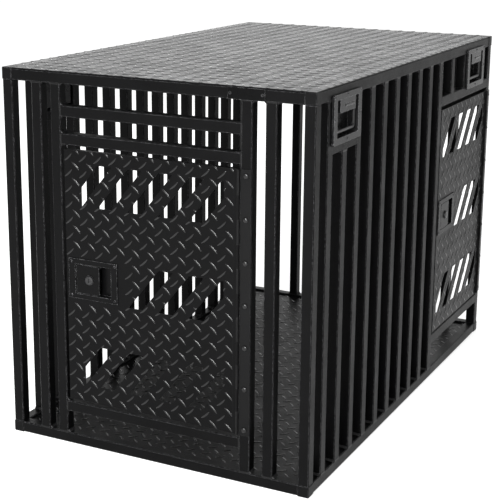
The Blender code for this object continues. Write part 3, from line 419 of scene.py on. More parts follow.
def build_edge_group():
    """Mask of rubbed coat and of a painted highlight along edges, and a rounded normal."""
    float_socket = "NodeSocketFloat"
    group, start, end = new_group(
        "Rubbed edge and highlight",
        [("Reach", float_socket, 0.0012), ("Patch size", float_socket, 0.03),
         ("Amount", float_socket, 0.6)],
        [("Mask", float_socket), ("Rounded normal", "NodeSocketVector")])
    flat = add_node(group, "ShaderNodeNewGeometry")
    rounded = add_node(group, "ShaderNodeBevel", samples=4)
    agree = add_node(group, "ShaderNodeVectorMath", operation="DOT_PRODUCT")
    turned = add_node(group, "ShaderNodeMapRange", {"From Min": 0.985, "From Max": 0.90})
    place = add_node(group, "ShaderNodeTexCoord")
    per_metre = add_node(group, "ShaderNodeMath", {0: 1.0}, operation="DIVIDE")
    patches = add_node(group, "ShaderNodeTexNoise", {"Detail": 5.0, "Roughness": 0.7})
    cut = add_node(group, "ShaderNodeMapRange", {"From Min": 0.42, "From Max": 0.62})
    joined = add_node(group, "ShaderNodeMath", operation="MULTIPLY")
    scaled = add_node(group, "ShaderNodeMath", operation="MULTIPLY")
    wire(group, start, "Reach", rounded, "Radius")
    wire(group, rounded, "Normal", agree, 0)
    wire(group, flat, "Normal", agree, 1)
    wire(group, agree, "Value", turned, "Value")
    wire(group, start, "Patch size", per_metre, 1)
    wire(group, place, "Object", patches, "Vector")
    wire(group, per_metre, "Value", patches, "Scale")
    wire(group, patches, "Fac", cut, "Value")
    wire(group, turned, "Result", joined, 0)
    wire(group, cut, "Result", joined, 1)
    wire(group, joined, "Value", scaled, 0)
    wire(group, start, "Amount", scaled, 1)
    wire(group, scaled, "Value", end, "Mask")
    wire(group, rounded, "Normal", end, "Rounded normal")
    return group


def build_brush_group():
    """Fine turned marks of bare machined metal."""
    float_socket = "NodeSocketFloat"
    group, start, end = new_group(
        "Machined marks",
        [("Mark size", float_socket, 0.0004), ("Stretch", float_socket, 14.0)],
        [("Height", float_socket), ("Streak", float_socket)])
    place = add_node(group, "ShaderNodeTexCoord")
    per_metre = add_node(group, "ShaderNodeMath", {0: 1.0}, operation="DIVIDE")
    combine = add_node(group, "ShaderNodeCombineXYZ", {"Y": 1.0, "Z": 1.0})
    stretched = add_node(group, "ShaderNodeVectorMath", operation="MULTIPLY")
    marks = add_node(group, "ShaderNodeTexNoise", {"Detail": 3.0, "Roughness": 0.7})
    spread = add_node(group, "ShaderNodeMapRange", {"From Min": 0.3, "From Max": 0.7})
    wire(group, start, "Mark size", per_metre, 1)
    wire(group, start, "Stretch", combine, "Z")
    wire(group, place, "Object", stretched, 0)
    wire(group, combine, "Vector", stretched, 1)
    wire(group, stretched, "Vector", marks, "Vector")
    wire(group, per_metre, "Value", marks, "Scale")
    wire(group, marks, "Fac", spread, "Value")
    wire(group, marks, "Fac", end, "Height")
    wire(group, spread, "Result", end, "Streak")
    return group


def shared_group(name):
    """A shared group, built the first time it is asked for."""
    makers = {
        "Coat grain": build_grain_group,
        "Rubbed edge and highlight": build_edge_group,
        "Machined marks": build_brush_group,
    }
    return bpy.data.node_groups.get(name) or makers[name]()


def place_group(tree, name, values):
    """A shared group in a material, with this material's own values."""
    return add_node(tree, "ShaderNodeGroup", values, node_tree=shared_group(name))


def blank_material(name):
    """A material with only its Principled shader and output."""
    material = bpy.data.materials.new(name)
    material.use_nodes = True
    shader = material.node_tree.nodes["Principled BSDF"]
    return material, material.node_tree, shader


def mixed_colour(tree, first, second, source, output):
    """A colour between two, by a mask."""
    mix = add_node(tree, "ShaderNodeMix", data_type="RGBA")
    mix.inputs["A"].default_value = (*first, 1.0)
    mix.inputs["B"].default_value = (*second, 1.0)
    tree.links.new(source.outputs[output], mix.inputs["Factor"])
    return mix


def coat_material(name, black, rub_and_highlight_colour, rough, grain=1.0, gloss=0.060, rub_and_highlight=0.9, bump=0.9,
                  reach=0.0014, patch=0.006):
    """Baked coat: grain, mottled gloss, and a lighter edge colour, partly rubbed coat and partly a painted
    highlight.
    """
    found = bpy.data.materials.get(name)
    if found:
        return found
    coat = bpy.context.scene.crate_coat
    material, tree, shader = blank_material(name)
    texture = place_group(tree, "Coat grain", {
        "Grain size": coat.peel_size * grain, "Cloud size": 0.07, "Cloud strength": 0.5})
    # Edge mask: lays the edge colour, partly rubbed coat and partly a painted highlight
    edge = place_group(tree, "Rubbed edge and highlight", {
        "Reach": reach * coat.rub_and_highlight_reach, "Patch size": patch, "Amount": rub_and_highlight})
    lifted = [min(1.0, part * 1.9) for part in black]
    clouded = mixed_colour(tree, black, lifted, texture, "Cloud")
    finished = add_node(tree, "ShaderNodeMix", data_type="RGBA")
    finished.inputs["B"].default_value = (*rub_and_highlight_colour, 1.0)
    wire(tree, edge, "Mask", finished, "Factor")
    tree.links.new(clouded.outputs["Result"], finished.inputs["A"])
    tree.links.new(finished.outputs["Result"], shader.inputs["Base Color"])
    rough_map = add_node(tree, "ShaderNodeMapRange", {
        "From Min": 0.0, "From Max": 0.5, "To Min": rough - 0.05, "To Max": rough + 0.07})
    wire(tree, texture, "Cloud", rough_map, "Value")
    wire(tree, rough_map, "Result", shader, "Roughness")
    relief = add_node(tree, "ShaderNodeBump", {"Strength": bump, "Distance": 0.0004})
    wire(tree, texture, "Height", relief, "Height")
    wire(tree, edge, "Rounded normal", relief, "Normal")
    wire(tree, relief, "Normal", shader, "Normal")
    shader.inputs["Specular IOR Level"].default_value = gloss
    return material


def steel_material(name, base, rough):
    """Bare machined metal with turned marks."""
    found = bpy.data.materials.get(name)
    if found:
        return found
    material, tree, shader = blank_material(name)
    marks = place_group(tree, "Machined marks", {"Mark size": 0.0005, "Stretch": 0.1})
    # Edge mask: the steel is half again lighter along its edges
    lighter_edges = place_group(tree, "Rubbed edge and highlight", {"Reach": 0.0008, "Patch size": 0.006, "Amount": 0.8})
    darker = [part * 0.62 for part in base]
    streaked = mixed_colour(tree, darker, base, marks, "Streak")
    finished = add_node(tree, "ShaderNodeMix", data_type="RGBA")
    finished.inputs["B"].default_value = (*[min(1.0, part * 1.5) for part in base], 1.0)
    wire(tree, lighter_edges, "Mask", finished, "Factor")
    tree.links.new(streaked.outputs["Result"], finished.inputs["A"])
    tree.links.new(finished.outputs["Result"], shader.inputs["Base Color"])
    rough_map = add_node(tree, "ShaderNodeMapRange", {"To Min": rough - 0.06, "To Max": rough + 0.12})
    wire(tree, marks, "Streak", rough_map, "Value")
    wire(tree, rough_map, "Result", shader, "Roughness")
    relief = add_node(tree, "ShaderNodeBump", {"Strength": 0.2, "Distance": 0.0002})
    wire(tree, marks, "Height", relief, "Height")
    wire(tree, lighter_edges, "Rounded normal", relief, "Normal")
    wire(tree, relief, "Normal", shader, "Normal")
    shader.inputs["Metallic"].default_value = 1.0
    return material


def finish(kind):
    """The material of one of the crate's finishes."""
    coat = bpy.context.scene.crate_coat
    if kind == "steel":
        return steel_material("steel_finish", coat.steel, STEEL_ROUGH)
    black, rub_and_highlight_colour, rough, step, rest = FINISHES[kind]
    return coat_material(kind + "_finish", getattr(coat, black), getattr(coat, rub_and_highlight_colour),
                         getattr(coat, rough) + step, **rest)


def coat_nodes(kind, names):
    """Give solids of the frame a finish."""
    material = finish(kind)
    for name in names:
        mesh = NODES[name].data
        mesh.materials.clear()
        mesh.materials.append(material)


# Tread plate

def slot_outline(left, low, high, field):
    """A slanted slot of a door, cut off at the sides of its field."""
    outline = [
        (left, low), (left + SLOT_WIDTH, low),
        (left + SLOT_WIDTH + SLOT_LEAN, high), (left + SLOT_LEAN, high),
    ]
    for limit, above in ((field[0], True), (field[1], False)):
        kept = []
        for i, here in enumerate(outline):
            last = outline[i - 1]
            inside = here[0] >= limit if above else here[0] <= limit
            inside_last = last[0] >= limit if above else last[0] <= limit
            if inside != inside_last:
                part = (limit - last[0]) / (here[0] - last[0])
                kept.append((limit, last[1] + part * (here[1] - last[1])))
            if inside:
                kept.append(here)
        outline = kept
    return outline


def door_edges(side):
    """Left, right, lower and upper edge of a door in its wall."""
    low, high = in_wall(DOOR_WALLS[side], side + "_door_panel")
    return low.x, high.x - KNUCKLE_PAST_DOOR, low.z, high.z


def door_slots(side):
    """Outlines of the slots of a door."""
    left, right, low, high = door_edges(side)
    layout = SLOTS[side]
    ends, rows = layout["ends"], layout["rows"]
    pitch = (right - left - ends[0] - ends[1]) / (SLOT_COUNT - 1)
    field = (left + layout["field"][0], right - layout["field"][1])
    middle = (low + high) / 2 + rows[1]
    starts = (
        (high - rows[0] - SLOT_HEIGHT, 0),
        (middle - SLOT_HEIGHT / 2, SLOT_SKIP),
        (low + rows[2], 0),
    )
    outlines = []
    for base, skip in starts:
        for i in range(skip, SLOT_COUNT):
            outlines.append(slot_outline(left + ends[0] + pitch * i, base, base + SLOT_HEIGHT, field))
    return outlines


def add_lug(bm, along, up, turn, bow, place):
    """One raised lug: a bowed lens with tapered tips."""
    tread = bpy.context.scene.crate_tread
    half_l, half_w = tread.lug_length / 2, tread.lug_width / 2
    cos_t, sin_t = math.cos(turn), math.sin(turn)

    def point(s, t, rise):
        a = s * half_l
        b = t * half_w * (1 - s ** 4) + bow * (0.5 - s * s)
        return place(along + a * cos_t - b * sin_t, up + a * sin_t + b * cos_t, rise)

    across = ([(-1.0, None)] + [(-t, height) for t, height in LUG_FLANK]
              + [(t, height) for t, height in reversed(LUG_FLANK)] + [(1.0, None)])
    rows = []
    for s in LUG_STATIONS:
        crown = tread.lug_rise * (1 - s ** 4)
        rows.append([bm.verts.new(point(s, t, LUG_SINK if height is None else crown * height))
                     for t, height in across])
    tips = [bm.verts.new(point(s, 0.0, LUG_SINK)) for s in (-1.0, 1.0)]
    for first, second in zip(rows, rows[1:]):
        for i in range(len(across) - 1):
            bm.faces.new((first[i], first[i + 1], second[i + 1], second[i]))
    for tip, row in ((tips[0], rows[0]), (tips[1], rows[-1])):
        for i in range(len(across) - 1):
            bm.faces.new((tip, row[i], row[i + 1]))
    low_side = [row[0] for row in rows]
    high_side = [row[-1] for row in rows]
    bm.faces.new([tips[0]] + low_side + [tips[1]] + list(reversed(high_side)))


def lug_places(first, pitch, low, high):
    """Places of a row of lugs between two limits."""
    start = math.ceil((low - first) / pitch)
    stop = math.floor((high - first) / pitch)
    return [first + pitch * i for i in range(start, stop + 1)]


def trim_field(bm, planes):
    """Cut a field of lugs off at planes, and close the cut lugs."""
    for point, out in planes:
        everything = bm.verts[:] + bm.edges[:] + bm.faces[:]
        cut = bmesh.ops.bisect_plane(bm, geom=everything, dist=0.000001, plane_co=point,
                                     plane_no=out, clear_outer=True)
        rim = [item for item in cut["geom_cut"] if isinstance(item, bmesh.types.BMEdge)]
        bmesh.ops.holes_fill(bm, edges=rim, sides=0)


def add_lug_field(bm, field, origin, place, skip=None):
    """Two sets of crossing lugs over a field: left, right, low, high."""
    tread = bpy.context.scene.crate_tread
    left, right, low, high = field
    half = -tread.lug_length / 2 * LUG_OVERHANG
    for offset, hand in ((0.0, -1), (0.5, 1)):
        for u in lug_places(origin[0] + offset * tread.pitch_along, tread.pitch_along,
                            left + half, right - half):
            for v in lug_places(origin[1] + offset * tread.pitch_up, tread.pitch_up,
                                low + half, high - half):
                if skip and skip(u, v):
                    continue
                add_lug(bm, u, v, hand * tread.lug_turn, -hand * tread.lug_bow, place)


def cut_piece(piece, cutter):
    """Take a cutter away from a piece with one exact Boolean."""
    step = piece.modifiers.new("slots", "BOOLEAN")
    step.operation = "DIFFERENCE"
    step.solver = "EXACT"
    step.object = cutter
    graph = bpy.context.evaluated_depsgraph_get()
    mesh = bpy.data.meshes.new_from_object(piece.evaluated_get(graph))
    piece.modifiers.clear()
    old = piece.data
    piece.data = mesh
    bpy.data.meshes.remove(old)
    bpy.data.objects.remove(cutter, do_unlink=True)


def door_cutter(side, matrix):
    """A solid that fills the slots of a door."""
    bm = bmesh.new()
    for outline in door_slots(side):
        rings = [[matrix @ Vector((u, d, z)) for u, z in outline]
                 for d in (-SLOT_CUT_DEPTH, SLOT_CUT_DEPTH)]
        add_sweep(bm, rings)
    bmesh.ops.recalc_face_normals(bm, faces=bm.faces)
    mesh = bpy.data.meshes.new("slot_cutter")
    bm.to_mesh(mesh)
    bm.free()
    cutter = bpy.data.objects.new("slot_cutter", mesh)
    bpy.context.scene.collection.objects.link(cutter)
    return cutter


def build_door_lugs(side):
    """Lugs of a door, left out under the latch plate and the hinge strip."""
    tread = bpy.context.scene.crate_tread
    matrix = wall_matrix(DOOR_WALLS[side])
    left, right, low, high = door_edges(side)
    field = (left, right - HINGE_STRIP, low, high)
    latch_u = left + LATCH_INSET + LATCH_W / 2
    dish = in_wall(DOOR_WALLS[side], side + "_latch_dish")
    latch_z = (dish[0].z + dish[1].z) / 2
    half = tread.lug_length / 2 * LUG_TO_LATCH

    def under_latch(u, z):
        return (abs(u - latch_u) < LATCH_W / 2 + half and abs(z - latch_z) < LATCH_H / 2 + half)

    def place(u, z, rise):
        return matrix @ Vector((u, -rise, z))

    bm = bmesh.new()
    origin = (tread.first_along, tread.first_up)
    if side == "side":
        origin = (left + tread.pitch_along * SIDE_LUG_SHIFT[0],
                  tread.first_up + tread.pitch_up * SIDE_LUG_SHIFT[1])
    add_lug_field(bm, field, origin, place, under_latch)
    inset = LUG_FIELD_INSET
    sides = ((left + inset, 0.0, -1.0, 0.0), (right - HINGE_STRIP - inset, 0.0, 1.0, 0.0),
             (0.0, low + inset, 0.0, -1.0), (0.0, high - inset, 0.0, 1.0))
    turned = matrix.to_3x3()
    trim_field(bm, [(matrix @ Vector((u, 0.0, z)), turned @ Vector((a, 0.0, b)))
                    for u, z, a, b in sides])
    piece = new_piece(side + "_door_lugs", bm, side + "_door", finish("lug"))
    cut_piece(piece, door_cutter(side, matrix))


def build_pan_lugs(pan):
    """Lugs on the upper face of a pan."""
    low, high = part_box(pan)
    level = high.z

    def place(x, y, rise):
        return Vector((x, y, level + rise))

    def at_block(x, y):
        reach = TUBE + bpy.context.scene.crate_tread.lug_length * LUG_TO_BLOCK
        near_x = min(x - low.x, high.x - x)
        near_y = min(y - low.y, high.y - y)
        return pan == "roof_pan" and near_x < reach and near_y < reach

    bm = bmesh.new()
    inset = LUG_FIELD_INSET
    origin = (low.x + PAN_LUG_START[0], low.y + PAN_LUG_START[1])
    add_lug_field(bm, (low.x, high.x, low.y, high.y), origin, place, at_block)
    trim_field(bm, [
        (Vector((low.x + inset, 0.0, 0.0)), Vector((-1.0, 0.0, 0.0))),
        (Vector((high.x - inset, 0.0, 0.0)), Vector((1.0, 0.0, 0.0))),
        (Vector((0.0, low.y + inset, 0.0)), Vector((0.0, -1.0, 0.0))),
        (Vector((0.0, high.y - inset, 0.0)), Vector((0.0, 1.0, 0.0)))])
    new_piece(pan.replace("pan", "lugs"), bm, "frame", finish("lug"))


# Welds

def add_fillet(bm, start, end, first, second):
    """A rippled fillet weld from start to end, in the corner of two faces."""
    weld = bpy.context.scene.crate_weld
    run = end - start
    count = max(4, round(run.length / weld.ripple) * 2)
    rings = []
    for i in range(count + 1):
        swell = FILLET_END if i in (0, count) else 1.0 + FILLET_SWELL[i % 2]
        leg = weld.leg * swell
        centre = start + run * (i / count)
        inner = centre - (first + second) * FILLET_SINK
        profile = [inner]
        for turn in (0.0, 0.25, 0.5, 0.75, 1.0):
            angle = turn * math.pi / 2
            reach = leg * (1.0 - FILLET_HOLLOW * math.sin(turn * math.pi))
            profile.append(centre + (first * math.cos(angle) + second * math.sin(angle)) * reach)
        rings.append(profile)
    add_sweep(bm, rings)


def add_seam(bm, start, end, across, out):
    """A low dressed seam over a joint of two flush faces."""
    weld = bpy.context.scene.crate_weld
    run = end - start
    rings = []
    for i in range(SEAM_STEPS + 1):
        half = weld.seam_width / 2 * (1.0 + SEAM_SWELL[i % 2])
        centre = start + run * (i / SEAM_STEPS)
        foot = across * half * SEAM_FOOT
        profile = [centre - foot - out * SEAM_SINK]
        for t in (-1.0, -0.5, 0.0, 0.5, 1.0):
            rise = weld.seam_rise * (1 - t * t) - (0.0001 if abs(t) == 1.0 else 0.0)
            profile.append(centre + across * (half * t) + out * rise)
        profile.append(centre + foot - out * SEAM_SINK)
        rings.append(profile)
    add_sweep(bm, rings)


def weld_end(bm, matrix, centre, along, side, half):
    """Welds at one end of a tube: fillets at its sides and seams on its flush faces."""
    turned = matrix.to_3x3()
    for hand in (-1, 1):
        edge = centre + side * (hand * half)
        start = matrix @ Vector((edge.x, WELD_INSET, edge.z))
        end = matrix @ Vector((edge.x, TUBE - WELD_INSET, edge.z))
        add_fillet(bm, start, end, turned @ (side * hand), turned @ along)
    span = half - SEAM_INSET
    ends = [centre + side * (hand * span) for hand in (-1, 1)]
    for depth, out in ((0.0, -1.0), (TUBE, 1.0)):
        points = [matrix @ Vector((p.x, depth, p.z)) for p in ends]
        add_seam(bm, points[0], points[1], turned @ along, turned @ Vector((0.0, out, 0.0)))


def upright_places(wall):
    """Uprights of a wall: place along it, and lower and upper end."""
    low, high = TUBE, FRAME_H - TUBE
    if wall == "front":
        return [(box_middle(wall, name), low, high) for name in FRONT_UPRIGHTS]
    if wall == "right":
        names = [f"side_bar_{i}" for i in SIDE_BAR_NUMBERS] + ["side_latch_jamb"]
        found = [(box_middle(wall, name), low, high) for name in names]
        near = in_wall(wall, "side_near_bay")
        near_low, near_high = near[0].x + TUBE / 2, near[1].x - TUBE / 2
        found += [(near_low, low, high), (near_high, low, high)]
        found.append(((near_low + near_high) / 2, low, header_level()))
        return found
    count = LEFT_BAR_COUNT if wall == "left" else BACK_BAR_COUNT
    span = FRAME_L if wall == "left" else FRAME_W
    pitch = (span - TUBE) / (count + 1)
    short = LEFT_SHORT_BARS if wall == "left" else ()
    level = header_level()
    return [(TUBE / 2 + pitch * (i + 1), low, level if i in short else high) for i in range(count)]


def box_middle(wall, name):
    """Middle of an upright along its wall."""
    low, high = in_wall(wall, name)
    return (low.x + high.x) / 2


def header_level():
    """Lower face of the tubes that carry the handles."""
    return FRAME_H - HEADER_DROP - TUBE / 2


def level_places():
    """Level tubes: wall, height, and the faces they end on."""
    found = []
    for wall, left, right, names in (
            ("front", "front_latch_jamb", "front_hinge_jamb",
             ("front_sill", "front_cross_bar", "front_header")),
            ("right", "side_latch_jamb", None, ("side_sill",))):
        start = in_wall(wall, left)[1].x
        end = in_wall(wall, right)[0].x if right else FRAME_L - TUBE
        for name in names:
            low, high = in_wall(wall, name)
            found.append((wall, (low.z + high.z) / 2, start, end))
    return found


def build_welds(wall):
    """All welds of a wall."""
    matrix = wall_matrix(wall)
    bm = bmesh.new()
    across = Vector((1.0, 0.0, 0.0))
    up = Vector((0.0, 0.0, 1.0))
    half = TUBE / 2
    for u, low, high in upright_places(wall):
        weld_end(bm, matrix, Vector((u, 0.0, low)), up, across, half)
        weld_end(bm, matrix, Vector((u, 0.0, high)), -up, across, half)
    for level_wall, z, start, end in level_places():
        if level_wall == wall:
            weld_end(bm, matrix, Vector((start, 0.0, z)), across, up, half)
            weld_end(bm, matrix, Vector((end, 0.0, z)), -across, up, half)
    new_piece(wall + "_welds", bm, "frame", finish("weld"))


def build_stop():
    """A flat strip under the side header that the closed door rests against."""
    matrix = wall_matrix("right")
    left, right, _, high = door_edges("side")
    left, right = left + STOP_END, right - STOP_END
    top = header_level() + STOP_TO_HEADER
    bm = bmesh.new()
    rings = []
    for z, front in ((high - STOP_OVERLAP, STOP_FRONT + STOP_CHAMFER),
                     (high - STOP_OVERLAP + 0.001, STOP_FRONT), (top, STOP_FRONT)):
        rings.append([matrix @ Vector(point) for point in (
            (left, front, z), (right, front, z), (right, STOP_BACK, z), (left, STOP_BACK, z))])
    add_sweep(bm, rings)
    new_piece("side_door_stop", bm, "frame", finish("tube"))


# Hardware

def add_rivet(bm, centre, out, radius, rise):
    """A domed rivet head with a small skirt, set into its plate."""
    steps = [(radius, -0.0008), (radius, 0.12 * rise)]
    for turn in (20, 40, 60, 78):
        angle = math.radians(turn)
        steps.append((radius * 0.97 * math.cos(angle), rise * (0.12 + 0.88 * math.sin(angle))))
    add_turned(bm, centre, out, steps, TURNED_SIDES)


def build_hinge_rivets(side):
    """Domed heads of the rivets that hold a hinge to its tube."""
    wall = DOOR_WALLS[side]
    matrix = wall_matrix(wall)
    hardware = bpy.context.scene.crate_hardware
    low, high = in_wall(wall, side + "_hinge_leaf")
    u = high.x - HINGE_LEAF_W / 2
    reach = high.z - low.z - 2 * HINGE_RIVET_END
    out = matrix.to_3x3() @ Vector((0.0, -1.0, 0.0))
    bm = bmesh.new()
    for i in range(HINGE_RIVET_COUNT):
        z = low.z + HINGE_RIVET_END + reach * i / (HINGE_RIVET_COUNT - 1)
        centre = matrix @ Vector((u, -HINGE_LEAF_FACE, z))
        add_rivet(bm, centre, out, hardware.rivet_radius, hardware.rivet_rise)
    new_piece(side + "_hinge_rivets", bm, "frame", finish("rivet"))


def build_badge_eyelets():
    """Rolled eyelets at both ends of the bare badge plate."""
    hardware = bpy.context.scene.crate_hardware
    matrix = wall_matrix("front")
    low, high = in_wall("front", "badge_plate")
    out = matrix.to_3x3() @ Vector((0.0, -1.0, 0.0))
    radius, rise = hardware.eyelet_radius, hardware.eyelet_rise
    bm = bmesh.new()
    for u in (low.x + EYELET_END, high.x - EYELET_END):
        centre = matrix @ Vector((u, -BADGE_FACE, (low.z + high.z) / 2))
        steps = [(radius, -0.0004), (radius, 0.4 * rise), (radius * 0.92, 0.8 * rise),
                 (radius * 0.78, rise), (radius * 0.62, 0.8 * rise), (radius * 0.52, 0.3 * rise),
                 (radius * 0.30, 0.2 * rise)]
        add_turned(bm, centre, out, steps, TURNED_SIDES)
    new_piece("badge_eyelets", bm, "frame", finish("steel"))


# Operators

class CrateOperator:
    """What every operator of the crate shares."""

    bl_options = {"REGISTER", "UNDO"}


class CRATE_OT_coat_frame(CrateOperator, bpy.types.Operator):
    """Coat the tubes, rails and corner blocks."""

    bl_idname = "crate.coat_frame"
    bl_label = "Coat frame"

    def execute(self, context):
        names = sorted(NODES)
        coat_nodes("block", [n for n in names if n.startswith("block_")])
        starts = ("post_", "rail_", "wall_", "front_bar", "side_bar", "side_near")
        ends = ("_jamb", "_header", "_sill", "_cross_bar")
        coat_nodes("tube", [n for n in names if n.startswith(starts) or n.endswith(ends)])
        return {"FINISHED"}


class CRATE_OT_coat_plates(CrateOperator, bpy.types.Operator):
    """Coat the roof, floor and door plates."""

    bl_idname = "crate.coat_plates"
    bl_label = "Coat plates"

    def execute(self, context):
        coat_nodes("tread", ["roof_pan", "floor_pan", "front_door_panel", "side_door_panel"])
        return {"FINISHED"}


class CRATE_OT_tread_lugs(CrateOperator, bpy.types.Operator):
    """Raise the lugs of the tread plate on the roof, floor and doors."""

    bl_idname = "crate.tread_lugs"
    bl_label = "Tread lugs"

    def execute(self, context):
        for pan in ("roof_pan", "floor_pan"):
            build_pan_lugs(pan)
        for side in ("front", "side"):
            build_door_lugs(side)
        return {"FINISHED"}


class CRATE_OT_welds(CrateOperator, bpy.types.Operator):
    """Lay fillet welds and seams where tubes meet."""

    bl_idname = "crate.welds"
    bl_label = "Welds"

    def execute(self, context):
        for wall in WALLS:
            build_welds(wall)
        return {"FINISHED"}


class CRATE_OT_stop(CrateOperator, bpy.types.Operator):
    """Weld the stop strip behind the upper edge of the side door."""

    bl_idname = "crate.stop"
    bl_label = "Door stop"

    def execute(self, context):
        build_stop()
        return {"FINISHED"}


class CRATE_OT_hinges(CrateOperator, bpy.types.Operator):
    """Coat the hinge leaves and set their rivets."""

    bl_idname = "crate.hinges"
    bl_label = "Hinges"

    def execute(self, context):
        coat_nodes("hinge", ["front_hinge_leaf", "side_hinge_leaf"])
        for side in ("front", "side"):
            build_hinge_rivets(side)
        return {"FINISHED"}


class CRATE_OT_latches(CrateOperator, bpy.types.Operator):
    """Finish the flush paddle latches."""

    bl_idname = "crate.latches"
    bl_label = "Latches"

    def execute(self, context):
        for side in ("front", "side"):
            coat_nodes("latch", [side + "_latch_dish", side + "_latch_paddle"])
            coat_nodes("steel", [side + "_lock_cylinder", side + "_latch_bolt"])
        return {"FINISHED"}


class CRATE_OT_handles(CrateOperator, bpy.types.Operator):
    """Finish the four lifting handles."""

    bl_idname = "crate.handles"
    bl_label = "Handles"

    def execute(self, context):
        names = sorted(NODES)
        coat_nodes("handle", [n for n in names if n.startswith("handle_plate")])
        coat_nodes("bail", [n for n in names if n.startswith("handle_bail")])
        return {"FINISHED"}


class CRATE_OT_badge(CrateOperator, bpy.types.Operator):
    """Finish the bare plate on the top front rail."""

    bl_idname = "crate.badge"
    bl_label = "Badge plate"

    def execute(self, context):
        coat_nodes("latch", ["badge_plate"])
        build_badge_eyelets()
        return {"FINISHED"}


class CRATE_OT_stage(CrateOperator, bpy.types.Operator):
    """Set the camera, the floor and the lights."""

    bl_idname = "crate.stage"
    bl_label = "Stage"

    def execute(self, context):
        build_camera()
        build_floor()
        build_lights()
        return {"FINISHED"}


def build_camera():
    """The camera at the photograph's viewing angle."""
    stage = bpy.context.scene.crate_stage
    data = bpy.data.cameras.new("photo_camera")
    data.lens = stage.lens
    data.sensor_width = 36.0
    data.shift_y = CAMERA_SHIFT
    data.clip_end = 200.0
    camera = bpy.data.objects.new("photo_camera", data)
    bpy.context.scene.collection.objects.link(camera)
    turn = Matrix.Rotation(math.radians(CAMERA_AZIMUTH), 4, "Z")
    tilt = Matrix.Rotation(math.radians(90.0 - CAMERA_ELEVATION), 4, "X")
    roll = Matrix.Rotation(math.radians(CAMERA_ROLL), 4, "Z")
    camera.matrix_world = Matrix.Translation(CAMERA_PLACE) @ turn @ tilt @ roll
    bpy.context.scene.camera = camera
    bpy.context.scene.view_settings.view_transform = "Standard"


def floor_material():
    """White floor that takes a shadow and shows white to the camera and in reflections."""
    stage = bpy.context.scene.crate_stage
    material, tree, shader = blank_material("studio_floor")
    noise = add_node(tree, "ShaderNodeTexNoise", {"Scale": 3.0, "Detail": 3.0})
    tone = add_node(tree, "ShaderNodeMix", data_type="RGBA")
    tone.inputs["A"].default_value = (*stage.floor_white, 1.0)
    tone.inputs["B"].default_value = (*[min(1.0, part * 1.02) for part in stage.floor_white], 1.0)
    wire(tree, noise, "Fac", tone, "Factor")
    tree.links.new(tone.outputs["Result"], shader.inputs["Base Color"])
    shader.inputs["Roughness"].default_value = 0.9
    shader.inputs["Specular IOR Level"].default_value = 0.0
    shown = shown_directly(tree)
    glow = add_node(tree, "ShaderNodeMath", {1: FLOOR_GLOW}, operation="MULTIPLY")
    wire(tree, shown, "Value", glow, 0)
    shader.inputs["Emission Color"].default_value = WHITE
    wire(tree, glow, "Value", shader, "Emission Strength")
    return material


def shown_directly(tree):
    """One for camera, glossy and transmission rays, nothing for others."""
    path = add_node(tree, "ShaderNodeLightPath")
    first = add_node(tree, "ShaderNodeMath", operation="MAXIMUM")
    second = add_node(tree, "ShaderNodeMath", operation="MAXIMUM")
    wire(tree, path, "Is Camera Ray", first, 0)
    wire(tree, path, "Is Glossy Ray", first, 1)
    wire(tree, first, "Value", second, 0)
    wire(tree, path, "Is Transmission Ray", second, 1)
    return second


def build_floor():
    """A wide pale floor under the crate."""
    bm = bmesh.new()
    east, north = Vector((1, 0, 0)), Vector((0, 1, 0))
    add_sweep(bm, [ring_points(Vector((0.0, 0.0, CAD_BOX[0][2] - depth)), east, north,
                               FLOOR_RADIUS, FLOOR_SIDES) for depth in (FLOOR_DEPTH, FLOOR_GAP)])
    bmesh.ops.recalc_face_normals(bm, faces=bm.faces)
    mesh = bpy.data.meshes.new("floor")
    bm.to_mesh(mesh)
    bm.free()
    mesh.materials.append(floor_material())
    floor = bpy.data.objects.new("floor", mesh)
    bpy.context.scene.collection.objects.link(floor)


def add_soft_light(name, power, place, target, size, turn=0.0):
    """An area light that the camera doesn't see, turned about its own axis."""
    data = bpy.data.lights.new(name, "AREA")
    data.shape = "RECTANGLE"
    data.size = size[0]
    data.size_y = size[1]
    data.energy = power
    light = bpy.data.objects.new(name, data)
    bpy.context.scene.collection.objects.link(light)
    light.location = place
    aim = Vector(target) - Vector(place)
    facing = aim.to_track_quat("-Z", "Y").to_matrix() @ Matrix.Rotation(math.radians(turn), 3, "Z")
    light.rotation_euler = facing.to_euler()
    light.visible_camera = False


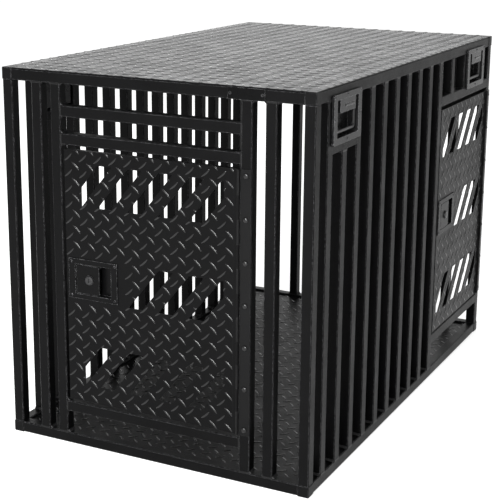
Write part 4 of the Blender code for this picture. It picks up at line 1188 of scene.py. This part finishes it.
def build_lights():
    """Even room light, a soft key light and a light behind the crate."""
    stage = bpy.context.scene.crate_stage
    world = bpy.data.worlds.new("studio")
    bpy.context.scene.world = world
    world.use_nodes = True
    tree = world.node_tree
    tree.nodes.clear()
    output = add_node(tree, "ShaderNodeOutputWorld")
    even = add_node(tree, "ShaderNodeBackground", {"Color": WHITE, "Strength": stage.sky_light})
    white = add_node(tree, "ShaderNodeBackground", {"Color": WHITE, "Strength": 1.0})
    mix = add_node(tree, "ShaderNodeMixShader")
    wire(tree, shown_directly(tree), "Value", mix, "Fac")
    wire(tree, even, "Background", mix, 1)
    wire(tree, white, "Background", mix, 2)
    wire(tree, mix, "Shader", output, "Surface")
    add_soft_light("key_light", stage.key_power, **KEY_LIGHT)
    add_soft_light("back_light", stage.back_power, **BACK_LIGHT)


class CRATE_PT_finish(bpy.types.Panel):
    """Buttons and settings of the crate's finish."""

    bl_label = "Dog crate finish"
    bl_idname = "CRATE_PT_finish"
    bl_space_type = "VIEW_3D"
    bl_region_type = "UI"
    bl_category = "Crate"

    def draw(self, context):
        layout = self.layout
        for operator in STEPS:
            layout.operator(operator.bl_idname)
        for label, _ in SETTINGS:
            box = layout.box()
            settings = getattr(context.scene, label)
            for key in settings.bl_rna.properties.keys():
                if key not in ("rna_type", "name"):
                    box.prop(settings, key)


SETTINGS = (
    ("crate_coat", CrateCoatSettings),
    ("crate_tread", CrateTreadSettings),
    ("crate_weld", CrateWeldSettings),
    ("crate_hardware", CrateHardwareSettings),
    ("crate_stage", CrateStageSettings),
)
STEPS = (
    CRATE_OT_coat_frame,
    CRATE_OT_coat_plates,
    CRATE_OT_tread_lugs,
    CRATE_OT_welds,
    CRATE_OT_stop,
    CRATE_OT_hinges,
    CRATE_OT_latches,
    CRATE_OT_handles,
    CRATE_OT_badge,
    CRATE_OT_stage,
)


def register():
    """Register the classes and the scene's settings."""
    for label, group in SETTINGS:
        bpy.utils.register_class(group)
        setattr(bpy.types.Scene, label, bpy.props.PointerProperty(type=group))
    for item in STEPS:
        bpy.utils.register_class(item)
    bpy.utils.register_class(CRATE_PT_finish)


def unregister():
    """Take the classes and the settings away again."""
    bpy.utils.unregister_class(CRATE_PT_finish)
    for item in reversed(STEPS):
        bpy.utils.unregister_class(item)
    for label, group in reversed(SETTINGS):
        delattr(bpy.types.Scene, label)
        bpy.utils.unregister_class(group)


def clear_start():
    """Remove what a new file holds besides the frame."""
    for name in ("Cube", "Light", "Camera"):
        item = bpy.data.objects.get(name)
        if item:
            bpy.data.objects.remove(item, do_unlink=True)


def main():
    """Dress the crate."""
    register()
    clear_start()
    for step in STEPS:
        group, name = step.bl_idname.split(".")
        getattr(getattr(bpy.ops, group), name)()


if __name__ == "__main__":
    main()
